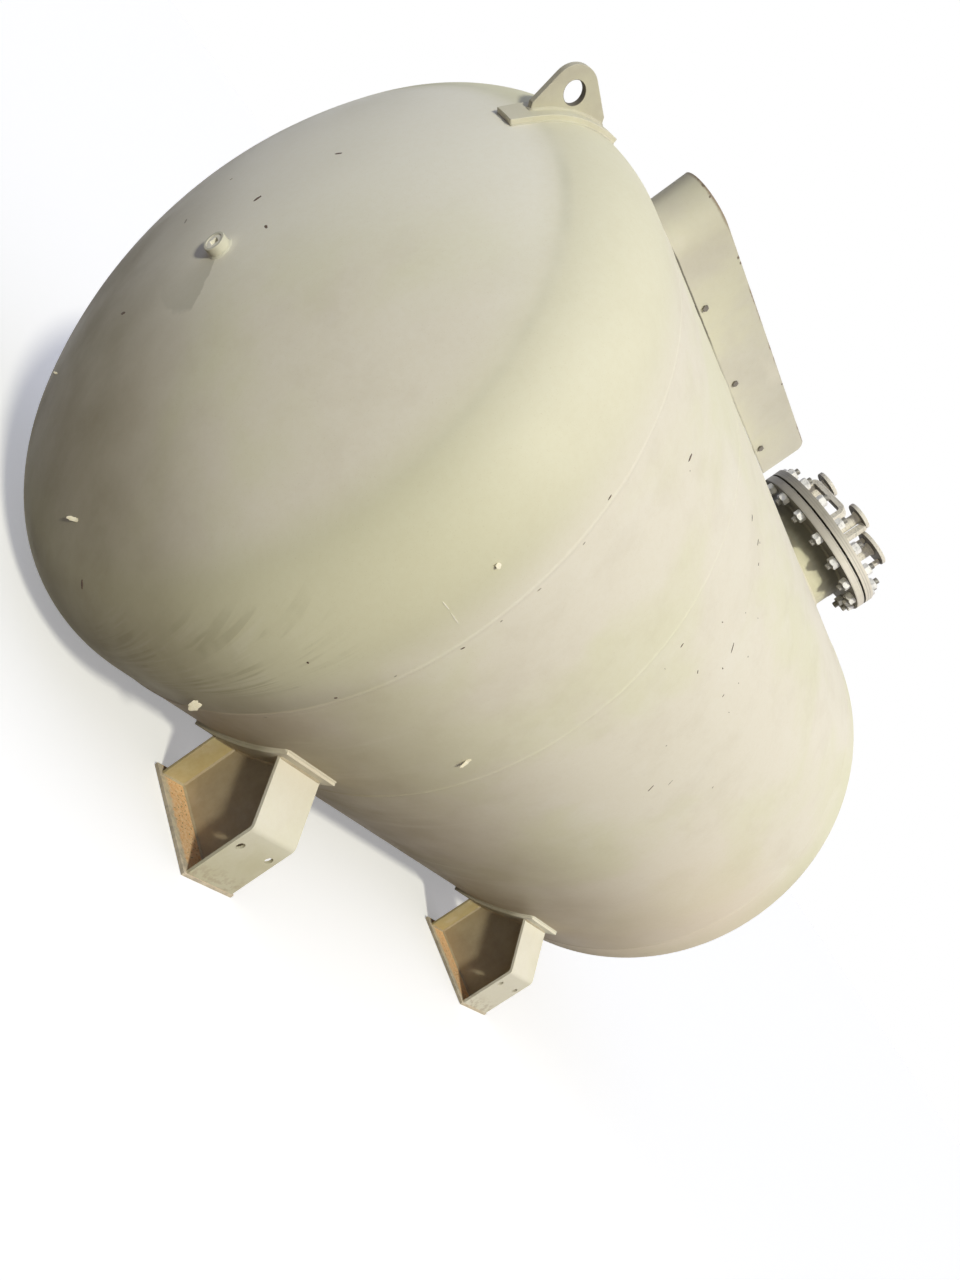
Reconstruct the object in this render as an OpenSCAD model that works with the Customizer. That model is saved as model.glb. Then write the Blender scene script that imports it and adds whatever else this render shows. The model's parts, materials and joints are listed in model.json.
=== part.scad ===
// Horizontal pressure tank on four plate feet, with a valve guard and a bolted manhole.
// Millimetres, +X along the tank, +Z up, origin on the floor under the middle of the bounding box.

/* [Vessel] */
// Outside diameter of the shell
shell_od = 1830; // [1400:10:2200]
// Plate thickness of the shell and the heads
plate_t = 12; // [8:1:20]
// Length of the shell between the two head seams
shell_len = 2150; // [2000:4:3200]
// Length of the short course beside the near head
short_course = 525; // [450:1:600]
// Radius of a head's crown
crown_r = 1550; // [1300:10:1900]
// Radius of the knuckle between a head's crown and its skirt
knuckle_r = 280; // [230:5:340]
// Straight skirt between a head seam and the knuckle
head_skirt = 104; // [40:2:200]
// Gap between the floor and the underside of the shell
under_gap = 55; // [45:1:160]
// Width of a circumferential weld bead
bead_w = 22; // [12:1:30]
// Height of a weld bead above the plate
bead_h = 3; // [1:0.5:5]

/* [End connection] */
// Outside diameter of the half coupling in the near head
coupling_od = 57; // [44:1:76]
// Bore of the half coupling
coupling_bore = 42; // [30:1:43]
// How far the half coupling stands out of the head
coupling_reach = 25; // [15:1:50]
// How far the half coupling stands into the tank
coupling_inset = 14; // [5:1:30]
// Across flats of the square socket in the plug
plug_socket = 19; // [12:1:24]
// Depth of the square socket
plug_socket_deep = 12; // [6:1:16]
// Length of the plug
plug_len = 24; // [20:1:30]
// How far the plug sits below the coupling's face
plug_recess = 2; // [1:0.5:6]

/* [Lifting lugs] */
// Thickness of a lug plate
lug_t = 20; // [12:1:30]
// Radius of the lug's rounded top
lug_r = 62; // [50:1:80]
// Diameter of the shackle hole
lug_hole_d = 56; // [30:1:70]
// Height of the hole's centre above the pad
lug_rise = 39; // [36:1:80]
// Width of the lug along the pad
lug_base_w = 200; // [160:5:260]
// Lean of the lug outwards from upright, in degrees
lug_lean = 44; // [36:0.5:55]
// Thickness of the pad under a lug
lug_pad_t = 14; // [8:1:20]
// Width of the pad under a lug
lug_pad_w = 105; // [70:1:160]
// How far the pad reaches beyond the lug towards the middle of the head
lug_pad_down = 62; // [20:1:80]
// How far the pad reaches beyond the lug towards the shell
lug_pad_up = 34; // [10:1:50]

/* [Valve guard] */
// Length of the guard from its round end to its open end
guard_len = 1049; // [700:1:1100]
// Width of the guard
guard_w = 220; // [160:2:300]
// Height of the guard's sheet
guard_h = 158; // [100:1:220]
// Thickness of the guard's sheet
guard_t = 4; // [3:0.5:6]
// Gap between the shell's crown line and the guard's lower edge
guard_gap = 6; // [4:1:20]
// Radius of the sheet's upper corners at the open end
guard_corner = 28; // [10:1:60]
// Distance from the open end to the manhole's centre
guard_to_manhole = 662; // [480:1:800]
// Distance of the bolt row above the sheet's lower edge
guard_bolt_rise = 22; // [16:1:40]
// Bolts along each side of the guard
guard_bolt_count = 3; // [2:1:5]
// Distance from the open end to the first bolt
guard_bolt_front = 118; // [60:1:160]
// Distance from the last bolt to the round end
guard_bolt_back = 184; // [100:1:240]
// Diameter of the guard's bolts
guard_bolt_d = 10; // [8:1:14]
// Across flats of a guard bolt's head and nut
guard_bolt_af = 17; // [14:1:22]
// Height of a guard bolt's head
guard_bolt_head = 6.5; // [5:0.5:9]
// Height of a guard bolt's nut
guard_bolt_nut = 8; // [6:0.5:12]
// Clearance of a guard bolt in its hole
guard_bolt_clear = 1; // [0.5:0.5:2]
// Width of a cleat that carries the guard
cleat_w = 40; // [30:1:60]
// Thickness of a cleat
cleat_t = 6; // [4:1:10]

/* [Manhole] */
// Distance of the manhole's centre from the far head's seam
manhole_inset = 370; // [260:1:460]
// Height of the lower flange's face above the shell's crown
manhole_rise = 128; // [110:1:220]
// Outside diameter of the neck
neck_od = 406; // [350:2:460]
// Wall of the neck
neck_t = 12; // [8:1:20]
// How far the neck stands into the tank below the crown
neck_inset = 50; // [40:1:90]
// Thickness of the flange
flange_t = 30; // [22:1:45]
// Thickness of the blind cover
cover_t = 30; // [22:1:45]
// Width of the raised face round the neck, on which the gasket seals
face_w = 32; // [20:1:40]
// Height of the raised face
face_t = 2; // [1:0.5:3]
// Thickness of the gasket
gasket_t = 3; // [2:0.5:5]
// Number of studs round the flange
stud_count = 16; // [12:4:20]
// Distance from the raised face out to the circle of studs
stud_offset = 35; // [28:1:50]
// Distance from the circle of studs out to the rim of the flange
flange_rim = 29; // [22:1:45]
// Diameter of a stud
stud_d = 25; // [20:1:27]
// Clearance of a stud in its hole
stud_clear = 3; // [1:0.5:4]
// Length of a stud beyond its nut
stud_tail = 16; // [8:1:30]
// Across flats of a nut
nut_af = 41; // [36:1:46]
// Height of a nut
nut_h = 25; // [20:1:30]

/* [Cover fittings] */
// Outside diameter of a fitting's neck
stem_od = 42; // [34:1:50]
// Wall of a fitting's neck
stem_t = 5; // [3:0.5:8]
// Width of the flare where a neck meets its disc and the cover
stem_flare = 6; // [4:1:8]
// Disc diameter of the tall fitting in the middle
tall_disc_d = 108; // [90:1:120]
// Height of the tall fitting above the cover
tall_h = 141; // [110:1:180]
// Disc diameter of the rear fitting
rear_disc_d = 106; // [90:1:120]
// Height of the rear fitting above the cover
rear_h = 134; // [110:1:180]
// Disc diameter of the front fitting
front_disc_d = 148; // [120:1:160]
// Height of the front fitting above the cover
front_h = 121; // [90:1:160]
// Thickness of the three discs
disc_t = 16; // [12:1:24]
// Chamfer on the edges of the discs
disc_edge = 2; // [1:0.5:4]
// Side of the square post beside the tall fitting
post_side = 26; // [16:1:30]
// Side of the square props under the front disc
prop_side = 16; // [10:1:20]
// Gap between a fitting's flare and the post or prop beside it
prop_gap = 1; // [1:0.5:4]
// Distance of the outer prop's corner from the rim of the front disc
prop_inset = 6; // [2:1:16]
// Direction in which the outer prop stands from the front fitting, in degrees
prop_deg = -54; // [-80:1:-30]
// Length of the bridge handle on the cover
bridge_len = 206; // [160:1:230]
// Height of the bridge handle above the cover
bridge_h = 94; // [60:1:120]
// Thickness of the bridge handle
bridge_t = 22; // [12:1:26]
// Depth of the bridge handle
bridge_w = 40; // [20:1:44]
// Outer radius of the bridge handle's bends
bridge_bend = 32; // [28:1:50]

/* [Feet] */
// Distance of a foot's middle from the head seam beside it
foot_inset = 320; // [250:2:400]
// Width of a foot's upright plates
foot_w = 178; // [150:2:200]
// Angle of the radial strut from straight down, in degrees
strut_deg = 47.8; // [46:0.2:52]
// Height of the knee in an end plate
knee_h = 220; // [190:1:240]
// Inside radius of the knee
knee_r = 16; // [10:1:30]
// Distance of the inner rib's face from the tank's centre plane
rib_y = 492; // [440:1:560]
// Thickness of the end plates, webs and ribs
foot_t = 10; // [8:1:16]
// Thickness of the base plates
base_t = 12; // [8:1:20]
// How far a base plate reaches beyond the upright plates along the tank
base_side_lip = 10; // [0:1:20]
// How far a base plate reaches inwards beyond its rib
base_inner_lip = 28; // [0:1:40]
// Thickness of the wrapper pads
wrap_t = 12; // [8:1:16]
// Width of the wrapper pads
wrap_w = 218; // [204:2:260]
// Sweep of a wrapper pad beyond its end plate, in degrees
wrap_outer_deg = 2.2; // [1:0.1:4]
// Sweep of a wrapper pad beyond its rib, in degrees
wrap_inner_deg = 4; // [2:0.5:8]
// Diameter of the two holes in an end plate
foot_hole_d = 24; // [14:1:30]
// Spacing of the two holes
foot_hole_pitch = 117; // [80:1:124]
// Height of the two holes above the floor
foot_hole_h = 155; // [100:1:180]

/* [Hidden] */
$fn = 96;

shell_r = shell_od / 2;
axis_h = shell_r + under_gap;
// The coupling lengthens one end, so the tank moves by half of it to keep the box centred
tank_x = coupling_reach / 2;
crown_z = axis_h + shell_r;
// Lean of a head's face from the tank's end, where its crown meets its knuckle
join_deg = asin((shell_r - knuckle_r) / (crown_r - knuckle_r));
// Centre of the crown and the head's farthest point, as distances from the seam
crown_at = head_skirt - (crown_r - knuckle_r) * cos(join_deg);
head_reach = crown_at + crown_r;

// Steps of the curved outlines that are drawn point by point
crown_steps = 30;
knuckle_steps = 30;
bead_steps = 6;
lug_steps = 18;
bend_steps = 6;
// Ratio of a hexagon's corners to its flats
hex_round = 2 / sqrt(3);
// Overlap of a cutting tool beyond what it cuts
eps = 1;

manhole_x = tank_x + shell_len / 2 - manhole_inset;
flange_top = crown_z + manhole_rise;
cover_bottom = flange_top + 2 * face_t + gasket_t;
cover_top = cover_bottom + cover_t;
hole_d = stud_d + stud_clear;
face_od = neck_od + 2 * face_w;
stud_circle = face_od + 2 * stud_offset;
flange_od = stud_circle + 2 * flange_rim;

guard_x1 = manhole_x - guard_to_manhole;
guard_r = guard_w / 2;
guard_x0 = guard_x1 - guard_len + guard_r;
guard_z0 = crown_z + guard_gap;
guard_bolt_z = guard_z0 + guard_bolt_rise;
guard_bolt_span = guard_x1 - guard_x0 - guard_bolt_front - guard_bolt_back;
guard_bolt_xs = [for (i = [0 : guard_bolt_count - 1])
    guard_x1 - guard_bolt_front - guard_bolt_span * i / (guard_bolt_count - 1)];

// A lug stands on the knuckle, and its pad reaches from there over the edge of the crown
lug_deg = 90 - lug_lean;
lug_pad_from = dish_deg(dish_length(lug_deg) - lug_base_w / 2 - lug_pad_down);
lug_pad_to = dish_deg(dish_length(lug_deg) + lug_base_w / 2 + lug_pad_up);
lug_pad_sweep = 2 * asin(lug_pad_w / 2 / shell_r);
// How far the lug's plate is drawn into the pad before it is cut to the pad's face
lug_root = lug_base_w / 4;

wrap_r = shell_r + wrap_t;
foot_x = shell_len / 2 - foot_inset;
rib_deg = asin(rib_y / wrap_r);
rib_top = axis_h - sqrt(pow(shell_r, 2) - pow(rib_y + foot_t, 2));
// The struts aim at the tank's axis, which places the end plates
end_y = (axis_h - knee_h) * tan(strut_deg);
knee_outer_r = knee_r + foot_t;
knee_mid = [end_y - knee_outer_r, knee_h - knee_outer_r * tan(strut_deg / 2)];
strut = (norm([end_y, axis_h - knee_h]) - shell_r) * [-sin(strut_deg), cos(strut_deg)];

// Places of the three fittings and the bridge on the cover, as offsets from its centre
rear_at = [-54, 147];
tall_at = [-32, -41];
front_at = [72, -121];
bridge_at = [-120, 45];
// The post and the props stand beside the flare of their fitting, under its disc
flare_r = stem_od / 2 + stem_flare;
post_at = [12, -(flare_r + prop_gap + post_side / 2)];
prop_corner = prop_side / sqrt(2);
prop_reaches = [
    front_disc_d / 2 - prop_inset - prop_corner,
    -(flare_r + 2 * prop_gap + prop_corner)
];

// Length of a head's outline from its middle to where the face leans by the angle a
function dish_length(a) =
    (crown_r * min(a, join_deg) + knuckle_r * max(a - join_deg, 0)) * PI / 180;

// The lean of a head's face at that length
function dish_deg(length) =
    let (past = length - dish_length(join_deg))
    join_deg + past / (past < 0 ? crown_r : knuckle_r) * 180 / PI;

// Outline point of a head where its face leans by the angle a, as [radius, distance
// from the seam], moved outwards by grow
function dish(a, grow) =
    a < join_deg
        ? [0, crown_at] + (crown_r + grow) * [sin(a), cos(a)]
        : [shell_r - knuckle_r, head_skirt] + (knuckle_r + grow) * [sin(a), cos(a)];

// Leans at which the outline's points lie, from the middle of the head to the skirt
dish_leans = concat(
    [for (i = [0 : crown_steps - 1]) join_deg * i / crown_steps],
    [for (i = [0 : knuckle_steps]) join_deg + (90 - join_deg) * i / knuckle_steps]
);

// Outer half of the head's outline, from the axis to the seam
function head_outline(grow) = concat(
    [for (a = dish_leans) dish(a, grow)],
    [[shell_r + grow, 0]]
);

function reversed(list) = [for (i = [len(list) - 1 : -1 : 0]) list[i]];

module on_axis() {
    translate([tank_x, 0, axis_h]) children();
}

// Puts a head, drawn along +Z from its seam, on the near (-1) or far (1) end
module on_end(side) {
    on_axis() translate([side * shell_len / 2, 0, 0]) rotate([0, side * 90, 0]) children();
}

module course(x0, x1) {
    on_axis() translate([x0, 0, 0]) rotate([0, 90, 0])
        difference() {
            cylinder(h = x1 - x0, r = shell_r);
            translate([0, 0, -eps]) cylinder(h = x1 - x0 + 2 * eps, r = shell_r - plate_t);
        }
}

module dished_head() {
    rotate_extrude() polygon(concat(head_outline(0), reversed(head_outline(-plate_t))));
}

module shell_course_short() {
    color("wheat") course(-shell_len / 2, short_course - shell_len / 2);
}

module shell_course_long() {
    color("wheat") difference() {
        course(short_course - shell_len / 2, shell_len / 2);
        translate([manhole_x, 0, axis_h]) cylinder(h = shell_od, d = neck_od);
    }
}

module head_near() {
    color("tan") difference() {
        on_end(-1) dished_head();
        on_end(-1) cylinder(h = head_reach + eps, d = coupling_od);
    }
}

module head_far() {
    color("tan") on_end(1) dished_head();
}

// One weld bead round the tank: a low arch on the plate
module bead() {
    rotate_extrude() polygon(concat(
        [[shell_r, bead_w / 2], [shell_r, -bead_w / 2]],
        [for (i = [1 : bead_steps - 1])
            let (u = 2 * i / bead_steps - 1)
            [shell_r + bead_h * (1 - u * u), u * bead_w / 2]]
    ));
}

module seam_beads() {
    color("burlywood")
        for (x = [-shell_len / 2, short_course - shell_len / 2, shell_len / 2])
            on_axis() translate([x, 0, 0]) rotate([0, 90, 0]) bead();
}

module end_coupling() {
    top = head_reach + coupling_reach;
    length = coupling_reach + plate_t + coupling_inset;
    color("burlywood") on_end(-1) translate([0, 0, top - length])
        difference() {
            cylinder(h = length, d = coupling_od);
            translate([0, 0, -eps]) cylinder(h = length + 2 * eps, d = coupling_bore);
        }
}

module end_plug() {
    top = head_reach + coupling_reach - plug_recess;
    color("silver") on_end(-1) difference() {
        translate([0, 0, top - plug_len]) cylinder(h = plug_len, d = coupling_bore);
        translate([-plug_socket / 2, -plug_socket / 2, top - plug_socket_deep])
            cube([plug_socket, plug_socket, plug_socket_deep + eps]);
    }
}

// Turns something drawn towards +X of a head so that it is at the top of the tank
module at_top(side) {
    on_end(side) rotate([0, 0, side > 0 ? 180 : 0]) children();
}

// A pad is a strip of the dish, thickened outwards
module lug_pad(side) {
    leans = [for (a = dish_leans) if (a > lug_pad_from && a < lug_pad_to) a];
    outer = [for (a = leans) dish(a, lug_pad_t)];
    inner = [for (a = leans) dish(a, 0)];
    at_top(side) rotate([0, 0, -lug_pad_sweep / 2]) rotate_extrude(angle = lug_pad_sweep)
        polygon(concat(outer, reversed(inner)));
}

module lug_pads() {
    color("tan") for (side = [-1, 1]) lug_pad(side);
}

// Flat outline of a lug about its hole's centre: sides from the base corners
// run as tangents into the rounded top
function lug_outline() =
    let (
        base = [lug_base_w / 2, -lug_rise],
        side = atan2(base[1], base[0]) + acos(lug_r / norm(base))
    )
    concat(
        [[lug_base_w / 2, -lug_rise - lug_root], base],
        [for (i = [0 : lug_steps])
            let (a = side + (180 - 2 * side) * i / lug_steps)
            lug_r * [cos(a), sin(a)]],
        [[-lug_base_w / 2, -lug_rise], [-lug_base_w / 2, -lug_rise - lug_root]]
    );

// The plate's foot is cut to the face of the pad
module lug(side) {
    seat = dish(lug_deg, lug_pad_t + lug_rise);
    difference() {
        at_top(side) translate([seat[0], 0, seat[1]]) rotate([90, -lug_lean, 0]) rotate([0, 0, -90])
            lug_plate();
        on_end(side) rotate_extrude() polygon(concat(head_outline(lug_pad_t), [[0, 0]]));
    }
}

module lug_plate() {
    difference() {
        linear_extrude(height = lug_t, center = true) polygon(lug_outline());
        translate([0, 0, -lug_t]) cylinder(h = 2 * lug_t, d = lug_hole_d);
    }
}

module lifting_lugs() {
    color("tan") for (side = [-1, 1]) lug(side);
}

// Plan of the guard: two straight sides and a half circle at the near end
module guard_plan(r) {
    union() {
        translate([guard_x0, 0]) circle(r = r);
        translate([guard_x0, -r]) square([guard_x1 - guard_x0 + (guard_r - r), 2 * r]);
    }
}

module guard_wall() {
    color("wheat") difference() {
        translate([0, 0, guard_z0]) linear_extrude(height = guard_h) guard_plan(guard_r);
        translate([0, 0, guard_z0 - eps]) linear_extrude(height = guard_h + 2 * eps)
            guard_plan(guard_r - guard_t);
        guard_corner_cut();
        for (x = guard_bolt_xs) guard_bolt_hole(x);
    }
}

// Rounds the two upper corners of the sheet at its open end
module guard_corner_cut() {
    translate([guard_x1 - guard_corner, 0, guard_z0 + guard_h - guard_corner]) rotate([90, 0, 0])
        linear_extrude(height = 2 * guard_w, center = true) difference() {
            square(2 * guard_corner);
            circle(r = guard_corner);
        }
}

module guard_bolt_hole(x) {
    translate([x, 0, guard_bolt_z]) rotate([90, 0, 0])
        cylinder(h = guard_w + 2 * eps, d = guard_bolt_d + guard_bolt_clear, center = true);
}

// A cleat stands on the shell just inside the guard's sheet
module guard_cleat(x) {
    inner = guard_r - guard_t;
    difference() {
        translate([x - cleat_w / 2, inner - cleat_t, axis_h])
            cube([cleat_w, cleat_t, guard_bolt_z + cleat_w / 2 - axis_h]);
        on_axis() translate([-shell_len / 2, 0, 0]) rotate([0, 90, 0])
            cylinder(h = shell_len, r = shell_r);
        guard_bolt_hole(x);
    }
}

module guard_cleats() {
    color("tan") for (x = guard_bolt_xs, side = [0, 1]) mirror([0, side, 0]) guard_cleat(x);
}

// A bolt through the sheet and the cleat, with its head outside and its nut inside
module guard_bolt(x) {
    grip = guard_t + cleat_t;
    corner_d = guard_bolt_af * hex_round;
    translate([x, guard_r, guard_bolt_z]) rotate([-90, 0, 0]) {
        cylinder(h = guard_bolt_head, d = corner_d, $fn = 6);
        translate([0, 0, -grip - guard_bolt_nut]) {
            cylinder(h = grip + guard_bolt_nut + guard_bolt_head / 2, d = guard_bolt_d);
            cylinder(h = guard_bolt_nut, d = corner_d, $fn = 6);
        }
    }
}

module guard_bolts() {
    color("silver") for (x = guard_bolt_xs, side = [0, 1]) mirror([0, side, 0]) guard_bolt(x);
}

module on_manhole(z) {
    translate([manhole_x, 0, z]) children();
}

module stud_places() {
    for (i = [0 : stud_count - 1])
        rotate([0, 0, 360 * (i + 0.5) / stud_count]) translate([stud_circle / 2, 0, 0]) children();
}

module manhole_neck() {
    z0 = crown_z - neck_inset;
    length = flange_top + face_t - z0;
    color("wheat") on_manhole(z0) difference() {
        cylinder(h = length, d = neck_od);
        translate([0, 0, -eps]) cylinder(h = length + 2 * eps, d = neck_od - 2 * neck_t);
    }
}

module manhole_flange() {
    color("tan") on_manhole(flange_top - flange_t) difference() {
        union() {
            cylinder(h = flange_t, d = flange_od);
            cylinder(h = flange_t + face_t, d = face_od);
        }
        translate([0, 0, -eps]) cylinder(h = flange_t + face_t + 2 * eps, d = neck_od);
        stud_places() translate([0, 0, -eps]) cylinder(h = flange_t + 2 * eps, d = hole_d);
    }
}

module manhole_gasket() {
    color("dimgray") on_manhole(flange_top + face_t) difference() {
        cylinder(h = gasket_t, d = face_od);
        translate([0, 0, -eps]) cylinder(h = gasket_t + 2 * eps, d = neck_od - 2 * neck_t);
    }
}

module manhole_cover() {
    color("tan") on_manhole(cover_bottom) difference() {
        union() {
            cylinder(h = cover_t, d = flange_od);
            translate([0, 0, -face_t]) cylinder(h = cover_t, d = face_od);
        }
        stud_places() translate([0, 0, -eps]) cylinder(h = cover_t + 2 * eps, d = hole_d);
        for (spot = [rear_at, tall_at, front_at])
            translate([spot[0], spot[1], -face_t - eps])
                cylinder(h = cover_t + face_t + 2 * eps, d = stem_od - 2 * stem_t);
    }
}

module manhole_studs() {
    z0 = flange_top - flange_t - nut_h - stud_tail;
    color("silver") on_manhole(z0) stud_places()
        cylinder(h = cover_top + nut_h + stud_tail - z0, d = stud_d);
}

// Hexagon nut with its corners turned off at both faces
module nut() {
    corner = nut_af * hex_round;
    bevel = (corner - nut_af) / 2;
    difference() {
        intersection() {
            cylinder(h = nut_h, d = corner, $fn = 6);
            rotate_extrude() polygon([
                [0, 0], [nut_af / 2, 0], [corner / 2 + bevel, 2 * bevel],
                [corner / 2 + bevel, nut_h - 2 * bevel], [nut_af / 2, nut_h], [0, nut_h]
            ]);
        }
        translate([0, 0, -eps]) cylinder(h = nut_h + 2 * eps, d = stud_d);
    }
}

module manhole_nuts_lower() {
    color("gainsboro") on_manhole(flange_top - flange_t - nut_h) stud_places() nut();
}

module manhole_nuts_upper() {
    color("gainsboro") on_manhole(cover_top) stud_places() nut();
}

module on_cover(spot) {
    translate([manhole_x + spot[0], spot[1], cover_top]) children();
}

// Neck of a cover fitting, flared at both ends, up to the underside of its disc
module stem(height) {
    top = height - disc_t;
    rotate_extrude() polygon([
        [stem_od / 2 - stem_t, 0], [flare_r, 0], [stem_od / 2, 2 * stem_flare],
        [stem_od / 2, top - 2 * stem_flare], [flare_r, top], [stem_od / 2 - stem_t, top]
    ]);
}

// Round disc with chamfered edges, its upper face at the given height above the cover
module disc(height, d) {
    translate([0, 0, height - disc_t]) rotate_extrude() polygon([
        [0, 0], [d / 2 - disc_edge, 0], [d / 2, disc_edge],
        [d / 2, disc_t - disc_edge], [d / 2 - disc_edge, disc_t], [0, disc_t]
    ]);
}

module square_post(side, height) {
    translate([-side / 2, -side / 2, 0]) cube([side, side, height]);
}

module tall_stem() {
    color("tan") on_cover(tall_at) stem(tall_h);
}

module tall_disc() {
    color("wheat") on_cover(tall_at) disc(tall_h, tall_disc_d);
}

module tall_post() {
    color("tan") on_cover(tall_at + post_at) square_post(post_side, tall_h - disc_t);
}

module rear_stem() {
    color("tan") on_cover(rear_at) stem(rear_h);
}

module rear_disc() {
    color("wheat") on_cover(rear_at) disc(rear_h, rear_disc_d);
}

module front_stem() {
    color("tan") on_cover(front_at) stem(front_h);
}

module front_disc() {
    color("wheat") on_cover(front_at) disc(front_h, front_disc_d);
}

module front_props() {
    color("tan") on_cover(front_at)
        for (reach = prop_reaches)
            rotate([0, 0, prop_deg]) translate([reach, 0, 0]) rotate([0, 0, -prop_deg])
                square_post(prop_side, front_h - disc_t);
}

// Flat bar bent into a bridge: two legs, two rounded bends and a level top
module bridge_handle() {
    outer = bridge_side(0);
    inner = bridge_side(bridge_t);
    color("tan") on_cover(bridge_at) rotate([90, 0, 90])
        linear_extrude(height = bridge_w, center = true)
            polygon(concat(
                outer,
                reversed([for (p = outer) [-p[0], p[1]]]),
                [for (p = inner) [-p[0], p[1]]],
                reversed(inner)
            ));
}

// Right half of the bridge's outline, from the cover to the top, moved inwards by depth
function bridge_side(depth) =
    let (
        middle = [bridge_len / 2 - bridge_bend, bridge_h - bridge_bend],
        r = bridge_bend - depth
    )
    concat(
        [[bridge_len / 2 - depth, 0]],
        [for (i = [0 : bend_steps]) let (a = 90 * i / bend_steps) middle + r * [cos(a), sin(a)]]
    );

// Places something drawn in the Y-Z plane at each of the four feet, extruded along X
module at_feet(width) {
    for (sx = [-1, 1], sy = [0, 1])
        translate([tank_x + sx * foot_x, 0, 0]) mirror([0, sy, 0])
            rotate([90, 0, 90]) linear_extrude(height = width, center = true) children();
}

// Takes away the tank's body up to the back of the wrapper pads
module less_tank() {
    difference() {
        children();
        on_axis() rotate([0, 90, 0]) cylinder(h = shell_len, r = wrap_r, center = true);
    }
}

module wrapper_pads() {
    from = -90 + rib_deg - wrap_inner_deg;
    sweep = strut_deg + wrap_outer_deg - rib_deg + wrap_inner_deg;
    color("wheat") for (sx = [-1, 1], sy = [0, 1])
        on_axis() translate([sx * foot_x, 0, 0]) mirror([0, sy, 0]) rotate([90, 0, 90])
            rotate_extrude(angle = sweep, start = from)
                translate([shell_r, -wrap_w / 2]) square([wrap_t, wrap_w]);
}

module base_plates() {
    inner_y = rib_y - base_inner_lip;
    color("tan") for (sx = [-1, 1], sy = [0, 1])
        translate([tank_x + sx * foot_x, 0, 0]) mirror([0, sy, 0])
            translate([-foot_w / 2 - base_side_lip, inner_y, 0])
                cube([foot_w + 2 * base_side_lip, end_y - inner_y, base_t]);
}

// One face of the bent end plate: a rounded knee, then the strut up to the tank
function knee_line(r) =
    let (arc = [for (i = [0 : bend_steps])
        let (a = strut_deg * i / bend_steps)
        knee_mid + r * [cos(a), sin(a)]])
    concat(arc, [arc[bend_steps] + strut]);

// Outline of a bent end plate: upright, knee and strut
module end_plate_outline() {
    polygon(concat(
        [[end_y, base_t]], knee_line(knee_outer_r),
        reversed(knee_line(knee_r)), [[end_y - foot_t, base_t]]
    ));
}

module end_plates() {
    color("wheat") difference() {
        less_tank() at_feet(foot_w) end_plate_outline();
        for (sx = [-1, 1], hole = [-1, 1])
            translate([tank_x + sx * foot_x + hole * foot_hole_pitch / 2, 0, foot_hole_h])
                rotate([90, 0, 0]) cylinder(h = 3 * end_y, d = foot_hole_d, center = true);
    }
}

// Web between the rib and the end plate, under the tank
module web_outline() {
    polygon(concat(
        [[rib_y + foot_t, base_t], [end_y - foot_t, base_t]],
        knee_line(knee_r), [[rib_y + foot_t, rib_top]]
    ));
}

module foot_webs() {
    color("tan") less_tank() at_feet(foot_t) web_outline();
}

module foot_ribs() {
    color("tan") less_tank() at_feet(foot_w)
        translate([rib_y, base_t]) square([foot_t, rib_top - base_t]);
}

shell_course_short();
shell_course_long();
head_near();
head_far();
seam_beads();
end_coupling();
end_plug();
lug_pads();
lifting_lugs();
guard_wall();
guard_cleats();
guard_bolts();
manhole_neck();
manhole_flange();
manhole_gasket();
manhole_cover();
manhole_studs();
manhole_nuts_lower();
manhole_nuts_upper();
tall_stem();
tall_disc();
tall_post();
rear_stem();
rear_disc();
front_stem();
front_disc();
front_props();
bridge_handle();
wrapper_pads();
base_plates();
end_plates();
foot_webs();
foot_ribs();
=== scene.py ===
import json
import math
import random

import bmesh
import bpy
from mathutils import Matrix, Vector, noise


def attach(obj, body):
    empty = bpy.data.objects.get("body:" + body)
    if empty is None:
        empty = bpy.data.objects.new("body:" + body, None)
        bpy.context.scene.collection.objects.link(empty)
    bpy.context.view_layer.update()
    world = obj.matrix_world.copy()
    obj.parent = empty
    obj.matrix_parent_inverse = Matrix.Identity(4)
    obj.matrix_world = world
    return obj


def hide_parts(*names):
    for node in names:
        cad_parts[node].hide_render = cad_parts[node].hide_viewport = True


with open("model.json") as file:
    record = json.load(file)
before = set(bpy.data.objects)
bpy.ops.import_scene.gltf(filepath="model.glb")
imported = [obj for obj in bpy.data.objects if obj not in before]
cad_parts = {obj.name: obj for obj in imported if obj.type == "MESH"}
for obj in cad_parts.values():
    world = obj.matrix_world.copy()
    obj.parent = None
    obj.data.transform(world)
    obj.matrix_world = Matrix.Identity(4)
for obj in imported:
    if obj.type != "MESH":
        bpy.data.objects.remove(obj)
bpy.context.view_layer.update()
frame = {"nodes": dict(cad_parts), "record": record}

nodes = frame["nodes"]


# ---------------------------------------------------------------- camera, light and floor
def linked(name, data):
    obj = bpy.data.objects.new(name, data)
    bpy.context.scene.collection.objects.link(obj)
    return obj


def camera():
    """The photo's camera, fitted to the tank's outlines; its axes hold the photo's roll."""
    data = bpy.data.cameras.new("camera")
    data.sensor_fit = "VERTICAL"
    data.sensor_height = 36.0
    data.lens = 30.09
    data.clip_end = 200.0
    obj = linked("camera", data)
    right = Vector((0.44055, -0.37200, 0.81702))
    down = Vector((0.47055, -0.67938, -0.56306))
    forward = Vector((0.76453, 0.63250, -0.12426))
    m = Matrix((right, -down, -forward)).transposed().to_4x4()
    m.translation = Vector((-2.8032, -2.3740, 1.2554))
    obj.matrix_world = m
    bpy.context.scene.camera = obj


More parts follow.
